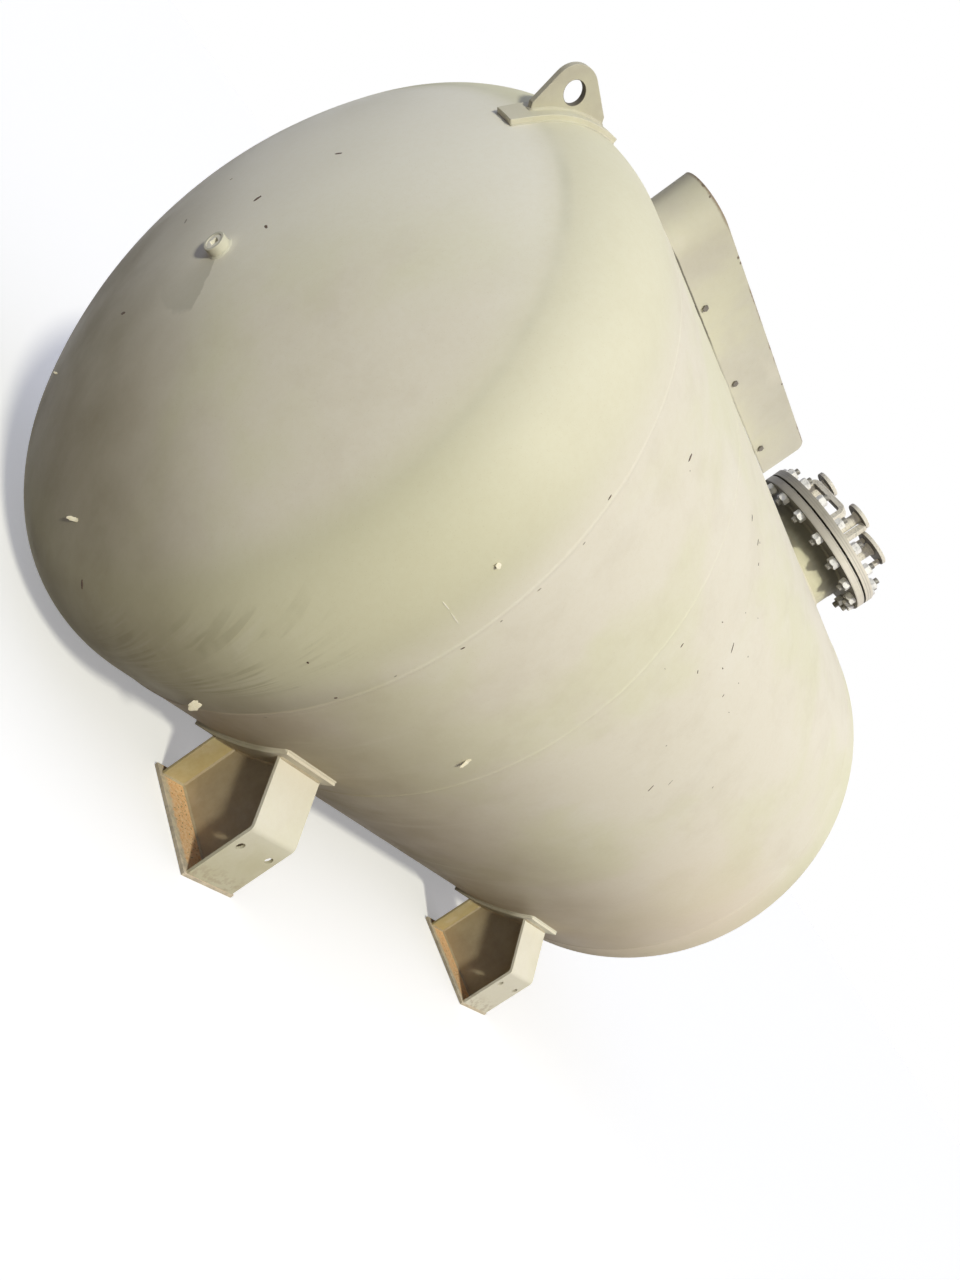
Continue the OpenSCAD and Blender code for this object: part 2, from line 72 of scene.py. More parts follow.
def sun(name, toward, strength, angle, colour):
    """A sun that stands in the direction toward; angle is the width of its disc in degrees."""
    data = bpy.data.lights.new(name, "SUN")
    data.energy = strength
    data.angle = math.radians(angle)
    data.color = colour
    linked(name, data).rotation_euler = Vector(toward).to_track_quat("Z", "Y").to_euler()


class Graph:
    """Short way to write a node tree. A value is a socket, a number or a tuple."""

    def __init__(self, tree):
        self.tree = tree
        tree.nodes.clear()

    def put(self, n, key, v):
        """Feeds one input, by a link or with a constant."""
        socket = n.inputs[key]
        if isinstance(v, bpy.types.NodeSocket):
            self.tree.links.new(v, socket)
        else:
            socket.default_value = v

    def fill(self, n, **sockets):
        """Feeds inputs by name, with _ for a space."""
        for k, v in sockets.items():
            self.put(n, k.replace("_", " "), v)
        return n

    def node(self, kind, **sockets):
        return self.fill(self.tree.nodes.new(kind), **sockets)

    def math(self, op, *values):
        n = self.tree.nodes.new("ShaderNodeMath")
        n.operation = op
        for i, v in enumerate(values):
            self.put(n, i, v)
        return n.outputs[0]

    def times(self, product, *others):
        for v in others:
            product = self.math("MULTIPLY", product, v)
        return product

    def plus(self, a, b):
        return self.math("ADD", a, b)

    def minus(self, a, b):
        return self.math("SUBTRACT", a, b)

    def absolute(self, a):
        return self.math("ABSOLUTE", a)

    def hypot(self, a, b):
        return self.math("SQRT", self.plus(self.times(a, a), self.times(b, b)))

    def mix(self, fac, a, b, blend="MIX"):
        n = self.tree.nodes.new("ShaderNodeMix")
        n.data_type = "RGBA"
        n.blend_type = blend
        for key, v in ((0, fac), (6, a), (7, b)):
            if isinstance(v, tuple):
                v = (*v, 1.0)
            self.put(n, key, v)
        return n.outputs[2]

    def span(self, value, a, b, lo=0.0, hi=1.0):
        """Goes smoothly from lo, where value is a, to hi, where it is b."""
        n = self.tree.nodes.new("ShaderNodeMapRange")
        n.interpolation_type = "SMOOTHSTEP"
        for i, v in enumerate((value, a, b, lo, hi)):
            self.put(n, i, v)
        return n.outputs[0]


def seen_directly(g):
    """1 for what the camera or a reflection sees, 0 for the light that falls on other things."""
    path = g.node("ShaderNodeLightPath")
    seen = g.math("MAXIMUM", path.outputs["Is Camera Ray"], path.outputs["Is Glossy Ray"])
    return g.math("MAXIMUM", seen, path.outputs["Is Transmission Ray"])


def world_and_floor():
    """Both look white; the sky lights the tank faintly, and the floor as brown ground does."""
    scene = bpy.context.scene
    scene.view_settings.view_transform = "Standard"
    world = bpy.data.worlds.new("studio")
    scene.world = world
    world.use_nodes = True
    g = Graph(world.node_tree)
    ambient = g.node("ShaderNodeBackground", Color=(0.96, 1.0, 1.10, 1.0), Strength=0.035)
    white = g.node("ShaderNodeBackground", Color=(1.0, 1.0, 1.0, 1.0), Strength=1.0)
    mixed = g.node("ShaderNodeMixShader", Fac=seen_directly(g))
    g.put(mixed, 1, ambient.outputs[0])
    g.put(mixed, 2, white.outputs[0])
    g.put(g.node("ShaderNodeOutputWorld"), 0, mixed.outputs[0])

    mesh = bpy.data.meshes.new("floor")
    far = 60.0
    corners = [(-far, -far, 0), (far, -far, 0), (far, far, 0), (-far, far, 0)]
    mesh.from_pydata(corners, [], [(0, 1, 2, 3)])
    floor = linked("floor", mesh)
    mat = bpy.data.materials.new("floor")
    mat.use_nodes = True
    g = Graph(mat.node_tree)
    seen = seen_directly(g)
    colour = g.mix(seen, (0.095, 0.066, 0.044), (0.95, 0.955, 0.95))
    ground = g.node("ShaderNodeBsdfDiffuse", Color=colour)
    lift = g.node("ShaderNodeEmission", Color=(1.0, 1.0, 1.0, 1.0), Strength=g.times(seen, 0.32))
    both = g.node("ShaderNodeAddShader")
    g.put(both, 0, ground.outputs[0])
    g.put(both, 1, lift.outputs[0])
    g.put(g.node("ShaderNodeOutputMaterial"), 0, both.outputs[0])
    mesh.materials.append(mat)


camera()
world_and_floor()
sun("key", (-0.391, -0.736, 0.552), 2.28, 5, (1.03, 1.0, 0.84))
sun("fill_right", (0.64, -0.64, 0.42), 0.70, 90, (1.08, 1.0, 1.12))
sun("fill_top", (-0.41, -0.41, 0.82), 0.54, 90, (0.88, 1.0, 1.46))
sun("fill_left", (-0.64, 0.64, 0.42), 0.21, 90, (0.94, 1.0, 1.30))


# ---------------------------------------------------------------- sizes of the part's source, in metres
NEAR, FAR = -1, 1           # side of a head: towards -X and towards +X
TANK_X = 0.0125
AXIS_Z = 0.970
SHELL_R = 0.915
PLATE = 0.012
HALF_LEN = 1.075
MID_SEAM = -0.550
CROWN_R = 1.550
KNUCKLE_R = 0.280
SKIRT = 0.104
JOIN = math.asin((SHELL_R - KNUCKLE_R) / (CROWN_R - KNUCKLE_R))
CROWN_AT = SKIRT - (CROWN_R - KNUCKLE_R) * math.cos(JOIN)
HEAD_STEPS = 30             # steps of the source's outline in the crown, and as many in the knuckle
COUPLING_R = 0.0285
MAN_X = TANK_X + 0.705
NECK_R = 0.203
FLANGE_TOP = AXIS_Z + SHELL_R + 0.128
FLANGE_T = 0.030
FACE_T = 0.002
GASKET_T = 0.003
COVER_T = 0.030
COVER_TOP = FLANGE_TOP + 2 * FACE_T + GASKET_T + COVER_T
STEM_FLARE_R = 0.027
STEMS = ((-0.054, 0.147), (-0.032, -0.041), (0.072, -0.121))
STUD_CIRCLE_R = 0.270
STUD_COUNT = 16
STUD_R = 0.0125
NUT_H = 0.025
STUD_TAIL = 0.016
FOOT_X = 0.755
FOOT_HALF_W = 0.089
FOOT_T = 0.010
BASE_T = 0.012
RIB_Y = 0.492
KNEE_H = 0.220
KNEE_R = 0.016
STRUT = math.radians(47.8)
END_Y = (AXIS_Z - KNEE_H) * math.tan(STRUT)
WRAP_R = SHELL_R + 0.012
WRAP_HALF_W = 0.109
WRAP_INNER = math.radians(4)
WRAP_OUTER = math.radians(2.2)
LUG_LEAN = math.radians(46)
LUG_HALF_T = 0.010
LUG_HALF_BASE = 0.100
LUG_RISE = 0.039
PAD_T = 0.014
PAD_HALF_W = 0.0525
PAD_DOWN = 0.062
PAD_UP = 0.034


# ---------------------------------------------------------------- meshes and pieces
def piece(name, mesh, material, slot, *replaced, smooth):
    """A piece of the tank; edges that bend less than smooth, in degrees, look round."""
    obj = linked(name, mesh)
    mesh.materials.clear()
    mesh.materials.append(material)
    mesh.polygons.foreach_set("use_smooth", [True] * len(mesh.polygons))
    mesh.set_sharp_from_angle(angle=math.radians(smooth))
    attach(obj, "root")
    if replaced:
        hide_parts(*replaced)
    return obj


def steps(lo, hi, count):
    """The count + 1 values that lead evenly from lo to hi."""
    return [lo + (hi - lo) * i / count for i in range(count + 1)]


def circle(count):
    """Angles of count points evenly round a circle."""
    return [2 * math.pi * i / count for i in range(count)]


def band(a, b, count):
    """Quads between two rings of count points, which start at vertex a and at vertex b."""
    return [(a + i, a + (i + 1) % count, b + (i + 1) % count, b + i) for i in range(count)]


def joined(parts):
    """Several (verts, faces) as one."""
    verts, faces = [], []
    for v, f in parts:
        base = len(verts)
        verts += v
        faces += [tuple(base + i for i in face) for face in f]
    return verts, faces


def mesh_of(name, verts, faces):
    mesh = bpy.data.meshes.new(name)
    mesh.from_pydata(verts, [], faces)
    mesh.update()
    return mesh


def closed_mesh(name, verts, faces):
    """A mesh of closed forms, with every face turned outwards."""
    mesh = mesh_of(name, verts, faces)
    bm = bmesh.new()
    bm.from_mesh(mesh)
    bmesh.ops.recalc_face_normals(bm, faces=bm.faces)
    bm.to_mesh(mesh)
    bm.free()
    return mesh


def bevelled(node, material, slot, width):
    """A copy of a CAD node with its flat faces made whole and its edges rounded."""
    corner = 28             # degrees from which an edge is one; the CAD draws its curves in smaller steps
    bm = bmesh.new()
    bm.from_mesh(nodes[node].data)
    bmesh.ops.remove_doubles(bm, verts=bm.verts, dist=2e-6)
    bmesh.ops.dissolve_limit(bm, angle_limit=math.radians(0.5), use_dissolve_boundaries=False,
                             verts=bm.verts, edges=bm.edges, delimit=set())
    mesh = bpy.data.meshes.new(node)
    bm.to_mesh(mesh)
    bm.free()
    mesh.update()
    obj = piece("dressed_" + node, mesh, material, slot, node, smooth=corner)
    mod = obj.modifiers.new("bevel", "BEVEL")
    mod.width = width
    mod.segments = 2
    mod.limit_method = "ANGLE"
    mod.angle_limit = math.radians(corner)
    mod.harden_normals = True
    mod.use_clamp_overlap = True


def dish(a, grow):
    """Outline point of a head as (radius, distance from the seam), where its face leans by a."""
    if a < JOIN:
        return ((CROWN_R + grow) * math.sin(a), CROWN_AT + (CROWN_R + grow) * math.cos(a))
    r = KNUCKLE_R + grow
    return (SHELL_R - KNUCKLE_R + r * math.sin(a), SKIRT + r * math.cos(a))


def on_head(side, r, s, turn):
    """Row-frame point at a radius and a distance from the seam; turn 0 is at the top."""
    return Vector((TANK_X + side * (HALF_LEN + s), -r * math.sin(turn), AXIS_Z + r * math.cos(turn)))


def head_normal(side, a, turn):
    return Vector((side * math.cos(a), -math.sin(a) * math.sin(turn), math.sin(a) * math.cos(turn)))


def head(side, name, hole=0.0):
    """A dished head as one smooth shell, with the slight unevenness of pressed plate. Its outer and inner
    faces meet at the seam and in the hole, or end in a pole each where there is no hole."""
    around = 224
    crown, knuckle, skirt = 34, 30, 3
    dent_scale, dent_depth = 2.6, 0.0011
    first = math.asin(hole / CROWN_R)
    leans = steps(first, JOIN, crown)[0 if hole else 1:-1] + steps(JOIN, math.pi / 2, knuckle)
    verts, faces, rims = [], [], []

    def add(new, keep):
        faces.extend(face if keep else face[::-1] for face in new)

    for grow in (0, -PLATE):
        keep = (side < 0) == (grow == 0)
        if not hole:
            pole = len(verts)
            verts.append(on_head(side, *dish(0, grow), 0))
            add([(pole, pole + 1 + (i + 1) % around, pole + 1 + i) for i in range(around)], keep)
        outline = [(*dish(a, grow), a) for a in leans]
        outline += [(SHELL_R + grow, s, math.pi / 2) for s in steps(SKIRT, 0, skirt)[1:]]
        start = len(verts)
        for r, s, a in outline:
            for turn in circle(around):
                p = on_head(side, r, s, turn)
                dent = noise.noise(p * dent_scale) * dent_depth * min(1, s / SKIRT)
                verts.append(p + head_normal(side, a, turn) * dent)
        end = len(verts) - around
        for ring in range(start, end, around):
            add(band(ring, ring + around, around), keep)
        rims.append((start, end))
    (outer_hole, outer_seam), (inner_hole, inner_seam) = rims
    add(band(outer_seam, inner_seam, around), side < 0)
    if hole:
        add(band(inner_hole, outer_hole, around), side < 0)
    return mesh_of(name, verts, faces)


# ---------------------------------------------------------------- materials
# Colours are linear and matched to the photo. Places and distances are in metres of the row's frame,
# in which the textures lie too, so the scale of a noise is in cells per metre.
CREASE_R = CROWN_R * math.sin(JOIN) - 0.006
CREAM = (0.800, 0.755, 0.625)
GREENISH = (0.750, 0.738, 0.515)
OLIVE = (0.670, 0.655, 0.440)
PALE = (0.840, 0.805, 0.700)
# pale tone of the crown: bleached paint and painted light
BLEACH_AND_PAINTED_LIGHT = (0.920, 0.897, 0.775)
# dust tones, which also paint the shade of the lower parts
DUST_AND_SHADE = (0.285, 0.215, 0.120)
OLIVE_DUST_AND_SHADE = (0.275, 0.238, 0.150)
CLAY = (0.800, 0.480, 0.230)
PALE_CLAY = (0.90, 0.64, 0.38)
MUD = (0.330, 0.290, 0.230)


def new_material(name):
    mat = bpy.data.materials.new(name)
    mat.use_nodes = True
    g = Graph(mat.node_tree)
    g.bsdf = g.node("ShaderNodeBsdfPrincipled")
    g.put(g.node("ShaderNodeOutputMaterial"), 0, g.bsdf.outputs[0])
    g.at = g.node("ShaderNodeTexCoord").outputs["Object"]
    g.x, g.y, g.z = g.node("ShaderNodeSeparateXYZ", Vector=g.at).outputs
    return mat, g


def noise_of(g, scale, detail=3.0, rough=0.55, vector=None, distortion=0.0):
    n = g.node("ShaderNodeTexNoise", Vector=vector or g.at, Scale=scale, Detail=detail,
               Roughness=rough, Distortion=distortion)
    return n.outputs[0]


def uneven(g, amount, *noise_values):
    """Noise about zero, by which an edge wanders."""
    return g.times(g.minus(noise_of(g, *noise_values), 0.5), amount)


def stretched(g, x, y):
    """Place to read a noise at, for one that is longer in one direction."""
    return g.node("ShaderNodeCombineXYZ", X=x, Y=y).outputs[0]


def bumped(g, height, distance, strength=1.0, normal=None):
    n = g.node("ShaderNodeBump", Height=height, Distance=distance, Strength=strength)
    if normal is not None:
        g.put(n, "Normal", normal)
    return n.outputs[0]


def grainy(g):
    """Small relief of brushed paint on plate."""
    return bumped(g, noise_of(g, 30.0, 3.0), 0.0003)


def off_middle(g):
    """Distance along the tank from its middle."""
    return g.absolute(g.minus(g.x, TANK_X))


def facing_up(g):
    geo = g.node("ShaderNodeNewGeometry")
    return g.node("ShaderNodeSeparateXYZ", Vector=geo.outputs["True Normal"]).outputs[2]


def finish_paint(g, colour, normal, rough=(0.56, 0.72)):
    """Speckle, orange peel and gloss that every painted surface has."""
    speck = noise_of(g, 70.0, 2.0)
    colour = g.mix(g.span(speck, 0.35, 0.65, 0.0, 0.10), colour, (0.90, 0.86, 0.76), "MULTIPLY")
    grit = noise_of(g, 330.0, 3.0, 0.65)
    colour = g.mix(g.span(grit, 0.60, 0.72, 0.0, 0.30), colour, (0.72, 0.66, 0.54), "MULTIPLY")
    patch = noise_of(g, 4.0, 4.0)
    peel = bumped(g, noise_of(g, 240.0, 2.0), 0.00010, 1.0, normal)
    g.fill(g.bsdf, Base_Color=colour, Roughness=g.span(patch, 0.3, 0.7, *rough), Normal=peel,
           Specular_IOR_Level=0.35)


def mottled(g, base=CREAM, green=0.58, scale=2.1):
    """Old paint: greenish and pale patches, and faint darker clouds."""
    patches = noise_of(g, scale, 4.0, 0.5, distortion=0.3)
    colour = g.mix(g.span(patches, 0.44, 0.64, 0.0, green), base, GREENISH)
    pale = noise_of(g, scale * 2.1, 3.0, 0.5)
    colour = g.mix(g.span(pale, 0.52, 0.75, 0.0, 0.35), colour, PALE)
    cloud = noise_of(g, 7.0, 5.0, 0.6)
    return g.mix(g.span(cloud, 0.30, 0.55, 0.30, 0.0), colour, (0.86, 0.84, 0.80), "MULTIPLY")


def low_dust_and_shade(g, colour, top, amount, full=0.22, height=None, tone=DUST_AND_SHADE):
    """Splashed dust, with painted shade of the lower parts, that thins out upwards, from the height full to
    the height top.
    """
    fall = g.span(height or g.z, top, full)
    cloud = noise_of(g, 6.0, 4.0, 0.6)
    return g.mix(g.times(fall, amount, g.span(cloud, 0.30, 0.75, 0.82, 1.0)), colour, tone)


def warmed(g, colour):
    """The far end is a little warmer and lighter low down."""
    fac = g.times(g.span(g.x, 0.0, 1.1, 0.0, 0.65), g.span(g.z, 1.35, 0.85))
    return g.mix(fac, colour, (0.920, 0.800, 0.640))


def wavy(g, distance):
    """Slight unevenness of rolled plate."""
    return bumped(g, noise_of(g, 2.6, 2.0, 0.45), distance, 0.10)


def shell_paint():
    mat, g = new_material("shell_paint")
    colour = warmed(g, mottled(g))
    # dust and painted shade low down, more towards the near end
    colour = low_dust_and_shade(g, colour, 0.96, g.span(g.x, 1.15, 0.55, 0.45, 0.86))
    # pale runs down the flank
    turn = g.math("ARCTAN2", g.y, g.minus(g.z, AXIS_Z))
    runs = noise_of(g, 1.0, 4.0, 0.6, stretched(g, g.times(g.x, 9.0), g.times(turn, 1.1)))
    colour = g.mix(g.span(runs, 0.55, 0.80, 0.0, 0.22), colour, PALE)
    finish_paint(g, colour, wavy(g, 0.016))
    return mat


def head_paint(side):
    mat, g = new_material("near_head_paint" if side == NEAR else "far_head_paint")
    up = g.minus(g.z, AXIS_Z)
    radius = g.hypot(g.y, up)
    reach = g.minus(off_middle(g), HALF_LEN)
    # angle from the top, the same on both flanks
    bend = g.absolute(g.math("ARCTAN2", g.y, up))
    # the knuckle is more yellow than the crown, above all low down
    knuckle = g.times(g.span(radius, 0.68, 0.80), g.span(reach, -0.01, 0.13, 0.15, 1.0),
                      g.span(bend, 1.0, 1.5, 0.52, 0.75))
    colour = g.mix(knuckle, mottled(g), g.mix(g.span(bend, 1.0, 1.5), GREENISH, OLIVE))
    # the crown is paler towards the sky, partly as bleached paint and partly as painted light, and on the
    # flank turned from the sun, as painted light
    sky_side = g.plus(g.z, g.times(g.y, 0.5))
    lee_side = g.plus(g.y, g.times(up, 0.45))
    bleach_and_painted_light = g.math("MAXIMUM", g.span(sky_side, 0.95, 1.55, 0.0, 0.85),
                      g.span(lee_side, -0.35, 0.15, 0.0, 0.92))
    colour = g.mix(g.times(bleach_and_painted_light, g.span(radius, 0.80, 0.70)), colour, BLEACH_AND_PAINTED_LIGHT)
    # shallow marks of the press that run round the lower knuckle and draw together downwards
    off_seam = g.math("MAXIMUM", g.minus(reach, 0.07), 0.006)
    line = g.plus(g.math("LOGARITHM", off_seam, math.e), g.times(bend, 1.72))
    fine = noise_of(g, 1.0, 2.5, 0.55, stretched(g, g.times(line, 8.5), g.times(bend, 3.0)), 0.5)
    patchy = g.span(noise_of(g, 8.0, 2.0), 0.40, 0.58, 0.15, 1.0)
    low = g.times(g.span(bend, 1.74, 2.00), g.span(bend, 2.72, 2.45),
                  g.span(reach, 0.078, 0.10), g.span(reach, 0.34, 0.26), patchy)
    if side == NEAR:
        # away from the seam the dust and painted shade reach higher on the side turned from the sun
        lift = g.times(g.plus(g.y, 0.35), g.span(reach, -0.03, 0.14, 0.0, 0.4))
        colour = low_dust_and_shade(g, colour, 0.93, 0.84, 0.38, g.minus(g.z, lift), OLIVE_DUST_AND_SHADE)
    else:
        # dust and painted shade low down
        colour = warmed(g, low_dust_and_shade(g, colour, 0.90, 0.15))
    dark_line = g.times(low, g.span(fine, 0.50, 0.60), 0.50)
    colour = g.mix(dark_line, colour, (0.72, 0.71, 0.66), "MULTIPLY")
    pale_line = g.times(low, g.span(fine, 0.46, 0.36), 0.12)
    colour = g.mix(pale_line, colour, PALE)
    # painted shade in the shallow line where the crown meets the knuckle
    off_crease = g.absolute(g.minus(radius, CREASE_R))
    painted_crease_shade = g.times(g.span(off_crease, 0.022, 0.0), g.span(noise_of(g, 3.0, 3.0), 0.35, 0.62, 0.12, 1.0),
                     g.span(bend, 1.65, 0.95), 0.30)
    colour = g.mix(painted_crease_shade, colour, (0.52, 0.52, 0.38))
    if side == NEAR:
        # dark fan-shaped stain that ran down from the plugged coupling
        edge = uneven(g, 1.0, 22.0, 3.0, 0.55)
        from_below = g.math("ARCTAN2", g.times(g.y, -1.0), g.times(up, -1.0))
        lean = g.plus(from_below, g.times(edge, 0.30))
        bottom = g.plus(radius, g.times(edge, 0.05))
        stain = g.times(g.span(lean, -0.75, 0.10), g.span(lean, 0.84, 0.79),
                        g.span(radius, 0.020, 0.040), g.span(bottom, 0.186, 0.172),
                        g.span(lean, -0.4, 0.8, 0.25, 0.62))
        colour = g.mix(stain, colour, (0.50, 0.48, 0.38))
    finish_paint(g, colour, bumped(g, g.times(low, fine), 0.006, 0.25, wavy(g, 0.012)))
    return mat


def spots(g, colour, places, tone):
    """Small ragged spots; places are (x, y, z, radius)."""
    ragged = uneven(g, 0.006, 300.0, 3.0, 0.6)
    for x, y, z, r in places:
        n = g.node("ShaderNodeVectorMath")
        n.operation = "DISTANCE"
        g.put(n, 0, g.at)
        g.put(n, 1, (x, y, z))
        fac = g.span(g.plus(n.outputs["Value"], ragged), r, r * 0.6)
        colour = g.mix(g.times(fac, 0.9), colour, tone)
    return colour


def plate_paint(name, base, green, dust_shade_amount=0.0, tint=None, cover=0.0, hole=False):
    """Paint of the smaller plates; grime in the colour tint lies on them in clouds, up to cover."""
    mat, g = new_material(name)
    colour = mottled(g, base, green, 5.0)
    # dust and painted shade low down
    if dust_shade_amount:
        colour = low_dust_and_shade(g, colour, 0.30, dust_shade_amount)
    if tint:
        grime = noise_of(g, 12.0, 5.0, 0.7)
        colour = g.mix(g.span(grime, 0.36, 0.66, 0.25 * cover, cover), colour, tint)
    if hole:
        # the wall of the hole is dark
        r, s = dish(LUG_LEAN, PAD_T + LUG_RISE)
        off = g.hypot(g.minus(off_middle(g), HALF_LEN + s), g.minus(g.z, AXIS_Z + r))
        colour = g.mix(g.span(off, 0.0300, 0.0287, 0.0, 0.9), colour, (0.080, 0.065, 0.045))
    finish_paint(g, colour, grainy(g), (0.52, 0.68))
    return mat


def foot_paint(name, painted_shade_under_tank=False):
    """Cream end plates and pads, stained by the ground towards their lower edge, with painted shade on the
    near feet and under the tank.
    """
    mat, g = new_material(name)
    colour = mottled(g, (0.800, 0.768, 0.640), 0.25, 5.0)
    # the near feet are darker, from dirt and painted shade, above all at their lower edge and up under the
    # tank
    near = g.span(g.x, 0.3, -0.3)
    lower = g.times(near, g.span(g.z, 0.220, 0.020, 0.05, 0.62))
    colour = g.mix(lower, colour, (0.540, 0.515, 0.365))
    upper = g.times(near, g.span(g.z, 0.240, 0.420, 0.0, 0.75))
    colour = g.mix(upper, colour, (0.650, 0.580, 0.440))
    stain = g.times(g.span(g.z, 0.26, 0.12), g.span(noise_of(g, 7.0, 4.0, 0.6), 0.30, 0.66, 0.20, 0.65),
                    g.span(near, 0.0, 1.0, 0.30, 1.0))
    colour = g.mix(stain, colour, (0.520, 0.480, 0.300))
    splash = g.times(g.span(g.z, 0.10, 0.01), g.span(noise_of(g, 60.0, 4.0, 0.7), 0.45, 0.60), 0.6)
    colour = g.mix(splash, colour, (0.420, 0.340, 0.220))
    if painted_shade_under_tank:
        # painted shade where the pad lies under the tank
        painted_shade_below = g.span(g.absolute(g.y), 0.690, 0.630, 0.0, 0.85)
        colour = g.mix(painted_shade_below, colour, (0.300, 0.265, 0.180))
    finish_paint(g, colour, grainy(g), (0.52, 0.68))
    return mat


def neck_paint():
    """Greenish cream, with painted shade up under the flange."""
    mat, g = new_material("neck_paint")
    colour = mottled(g, (0.690, 0.665, 0.500), 0.4, 5.0)
    height = g.plus(g.z, uneven(g, 0.03, 18.0, 3.0))
    painted_shade_below = g.times(g.span(height, FLANGE_TOP - 0.125, FLANGE_TOP - 0.060), 0.92)
    colour = g.mix(painted_shade_below, colour, (0.105, 0.095, 0.070))
    finish_paint(g, colour, grainy(g))
    return mat


def base_plate_paint():
    """Orange earth lies on the base plates; their rims are bare and muddy."""
    mat, g = new_material("base_plate_paint")
    mud = g.span(noise_of(g, 34.0, 5.0, 0.7), 0.40, 0.66, 0.05, 0.55)
    colour = g.mix(mud, mottled(g, (0.760, 0.660, 0.490), 0.1, 9.0), MUD)
    across = g.plus(g.absolute(g.minus(off_middle(g), FOOT_X)), uneven(g, 0.035, 45.0, 4.0, 0.7))
    top = g.times(g.span(facing_up(g), 0.5, 0.9), g.span(across, 0.084, 0.072))
    clay = g.mix(g.span(noise_of(g, 90.0, 4.0, 0.7), 0.35, 0.65), CLAY, PALE_CLAY)
    bits = g.times(g.span(noise_of(g, 150.0, 2.0, 0.5), 0.63, 0.67), 0.8)
    clay = g.mix(bits, clay, (0.16, 0.15, 0.07))
    g.fill(g.bsdf, Base_Color=g.mix(top, colour, clay), Roughness=0.9, Specular_IOR_Level=0.2,
           Normal=bumped(g, noise_of(g, 160.0, 4.0, 0.7), 0.0012, 0.9))
    return mat


# rust spots at the guard's edge and on its near end: x, y, z, radius
GUARD_SPOTS = (
    (-0.9865, -0.0387, 2.047, 0.007), (-0.9923, -0.0159, 2.048, 0.005), (-0.9684, -0.0699, 2.042, 0.004),
    (-0.7781, -0.110, 2.047, 0.006), (-0.7572, -0.110, 2.048, 0.005), (-0.2563, -0.110, 2.047, 0.004),
)


def guard_paint():
    """Cream sheet whose upper edge has rusted through its paint; painted shade lies on its round end and
    along its lower edge.
    """
    mat, g = new_material("guard_paint")
    colour = mottled(g, (0.655, 0.630, 0.535), 0.4, 3.5)
    heights = [v.co.z for v in nodes["guard_wall"].data.vertices]
    wander = uneven(g, 0.014, 35.0, 5.0, 0.7)
    below = g.plus(g.minus(max(heights), g.z), wander)
    end = g.span(g.x, -0.80, -0.95)
    worn = g.math("MAXIMUM", end, g.span(noise_of(g, 9.0, 3.0), 0.44, 0.60, 0.10, 0.9))
    rust = g.times(g.span(below, g.plus(0.004, g.times(end, 0.006)), 0.0006), worn, 0.85)
    colour = g.mix(rust, colour, (0.20, 0.11, 0.055))
    colour = spots(g, colour, GUARD_SPOTS, (0.12, 0.075, 0.045))
    # painted shade on the round end, above all on its side turned from the sun
    shaded = g.times(end, g.span(g.y, -0.015, 0.035, 0.0, 0.45))
    colour = g.mix(shaded, colour, (0.260, 0.225, 0.165))
    # a little painted shade towards the round end
    colour = g.mix(g.times(g.span(g.x, -0.62, -0.90), 0.20), colour, (0.42, 0.38, 0.30))
    # painted shade along the lower edge
    above = g.plus(g.minus(g.z, min(heights)), g.times(wander, 0.3))
    foot = g.times(g.span(above, 0.0050, 0.0020), g.span(g.x, -0.50, -0.62, 0.20, 1.0),
                   g.span(g.x, -0.98, -0.90), 0.85)
    colour = g.mix(foot, colour, (0.10, 0.09, 0.07))
    finish_paint(g, colour, bumped(g, noise_of(g, 9.0, 2.0), 0.0012, 0.5), (0.50, 0.66))
    return mat


def steel_flange_paint():
    """Thin greyish paint over turned steel, with dust in it and painted shade on the undersides."""
    mat, g = new_material("flange_paint")
    colour = mottled(g, (0.860, 0.815, 0.720), 0.08, 9.0)
    grime = noise_of(g, 26.0, 5.0, 0.7)
    colour = g.mix(g.span(grime, 0.50, 0.78, 0.0, 0.45), colour, (0.440, 0.400, 0.330))
    # painted shade on the undersides
    colour = g.mix(g.span(facing_up(g), -0.3, -0.8, 0.0, 0.96), colour, (0.040, 0.035, 0.026))
    # grooves of turning
    dx = g.minus(g.x, MAN_X)
    radius = g.hypot(dx, g.y)
    groove = noise_of(g, 1.0, 2.0, 0.5, stretched(g, g.times(radius, 170.0), g.times(g.z, 170.0)))
    colour = g.mix(g.span(groove, 0.36, 0.50, 0.32, 0.0), colour, (0.25, 0.23, 0.20))
    # painted shade on the side that the guard shelters
    colour = g.mix(g.span(dx, -0.12, -0.30, 0.0, 0.65), colour, (0.170, 0.155, 0.125))
    finish_paint(g, colour, bumped(g, groove, 0.0015, 0.35), (0.46, 0.60))
    return mat


def zinc(name, colour, rough, metallic):
    mat, g = new_material(name)
    cloud = noise_of(g, 60.0, 4.0, 0.6)
    tone = g.mix(g.span(cloud, 0.40, 0.75), colour, tuple(c * 0.62 for c in colour))
    # painted shade on the undersides
    tone = g.mix(g.span(facing_up(g), -0.3, -0.8, 0.0, 0.85), tone, (0.090, 0.080, 0.062))
    g.fill(g.bsdf, Base_Color=tone, Metallic=metallic, Roughness=g.span(cloud, 0.3, 0.7, rough, rough + 0.16),
           Normal=bumped(g, noise_of(g, 500.0, 3.0), 0.00006))
    return mat


def rubber():
    mat, g = new_material("gasket_rubber")
    cloud = noise_of(g, 120.0, 4.0)
    tone = g.mix(g.span(cloud, 0.35, 0.70), (0.006, 0.006, 0.006), (0.018, 0.017, 0.015))
    g.fill(g.bsdf, Base_Color=tone, Roughness=0.8, Normal=bumped(g, cloud, 0.0002))
    return mat


def chip_material(name, dark, light):
    mat, g = new_material(name)
    cloud = noise_of(g, 260.0, 4.0, 0.7)
    tone = g.mix(g.span(cloud, 0.35, 0.65), dark, light)
    g.fill(g.bsdf, Base_Color=tone, Roughness=0.75, Normal=bumped(g, cloud, 0.0003))
    return mat


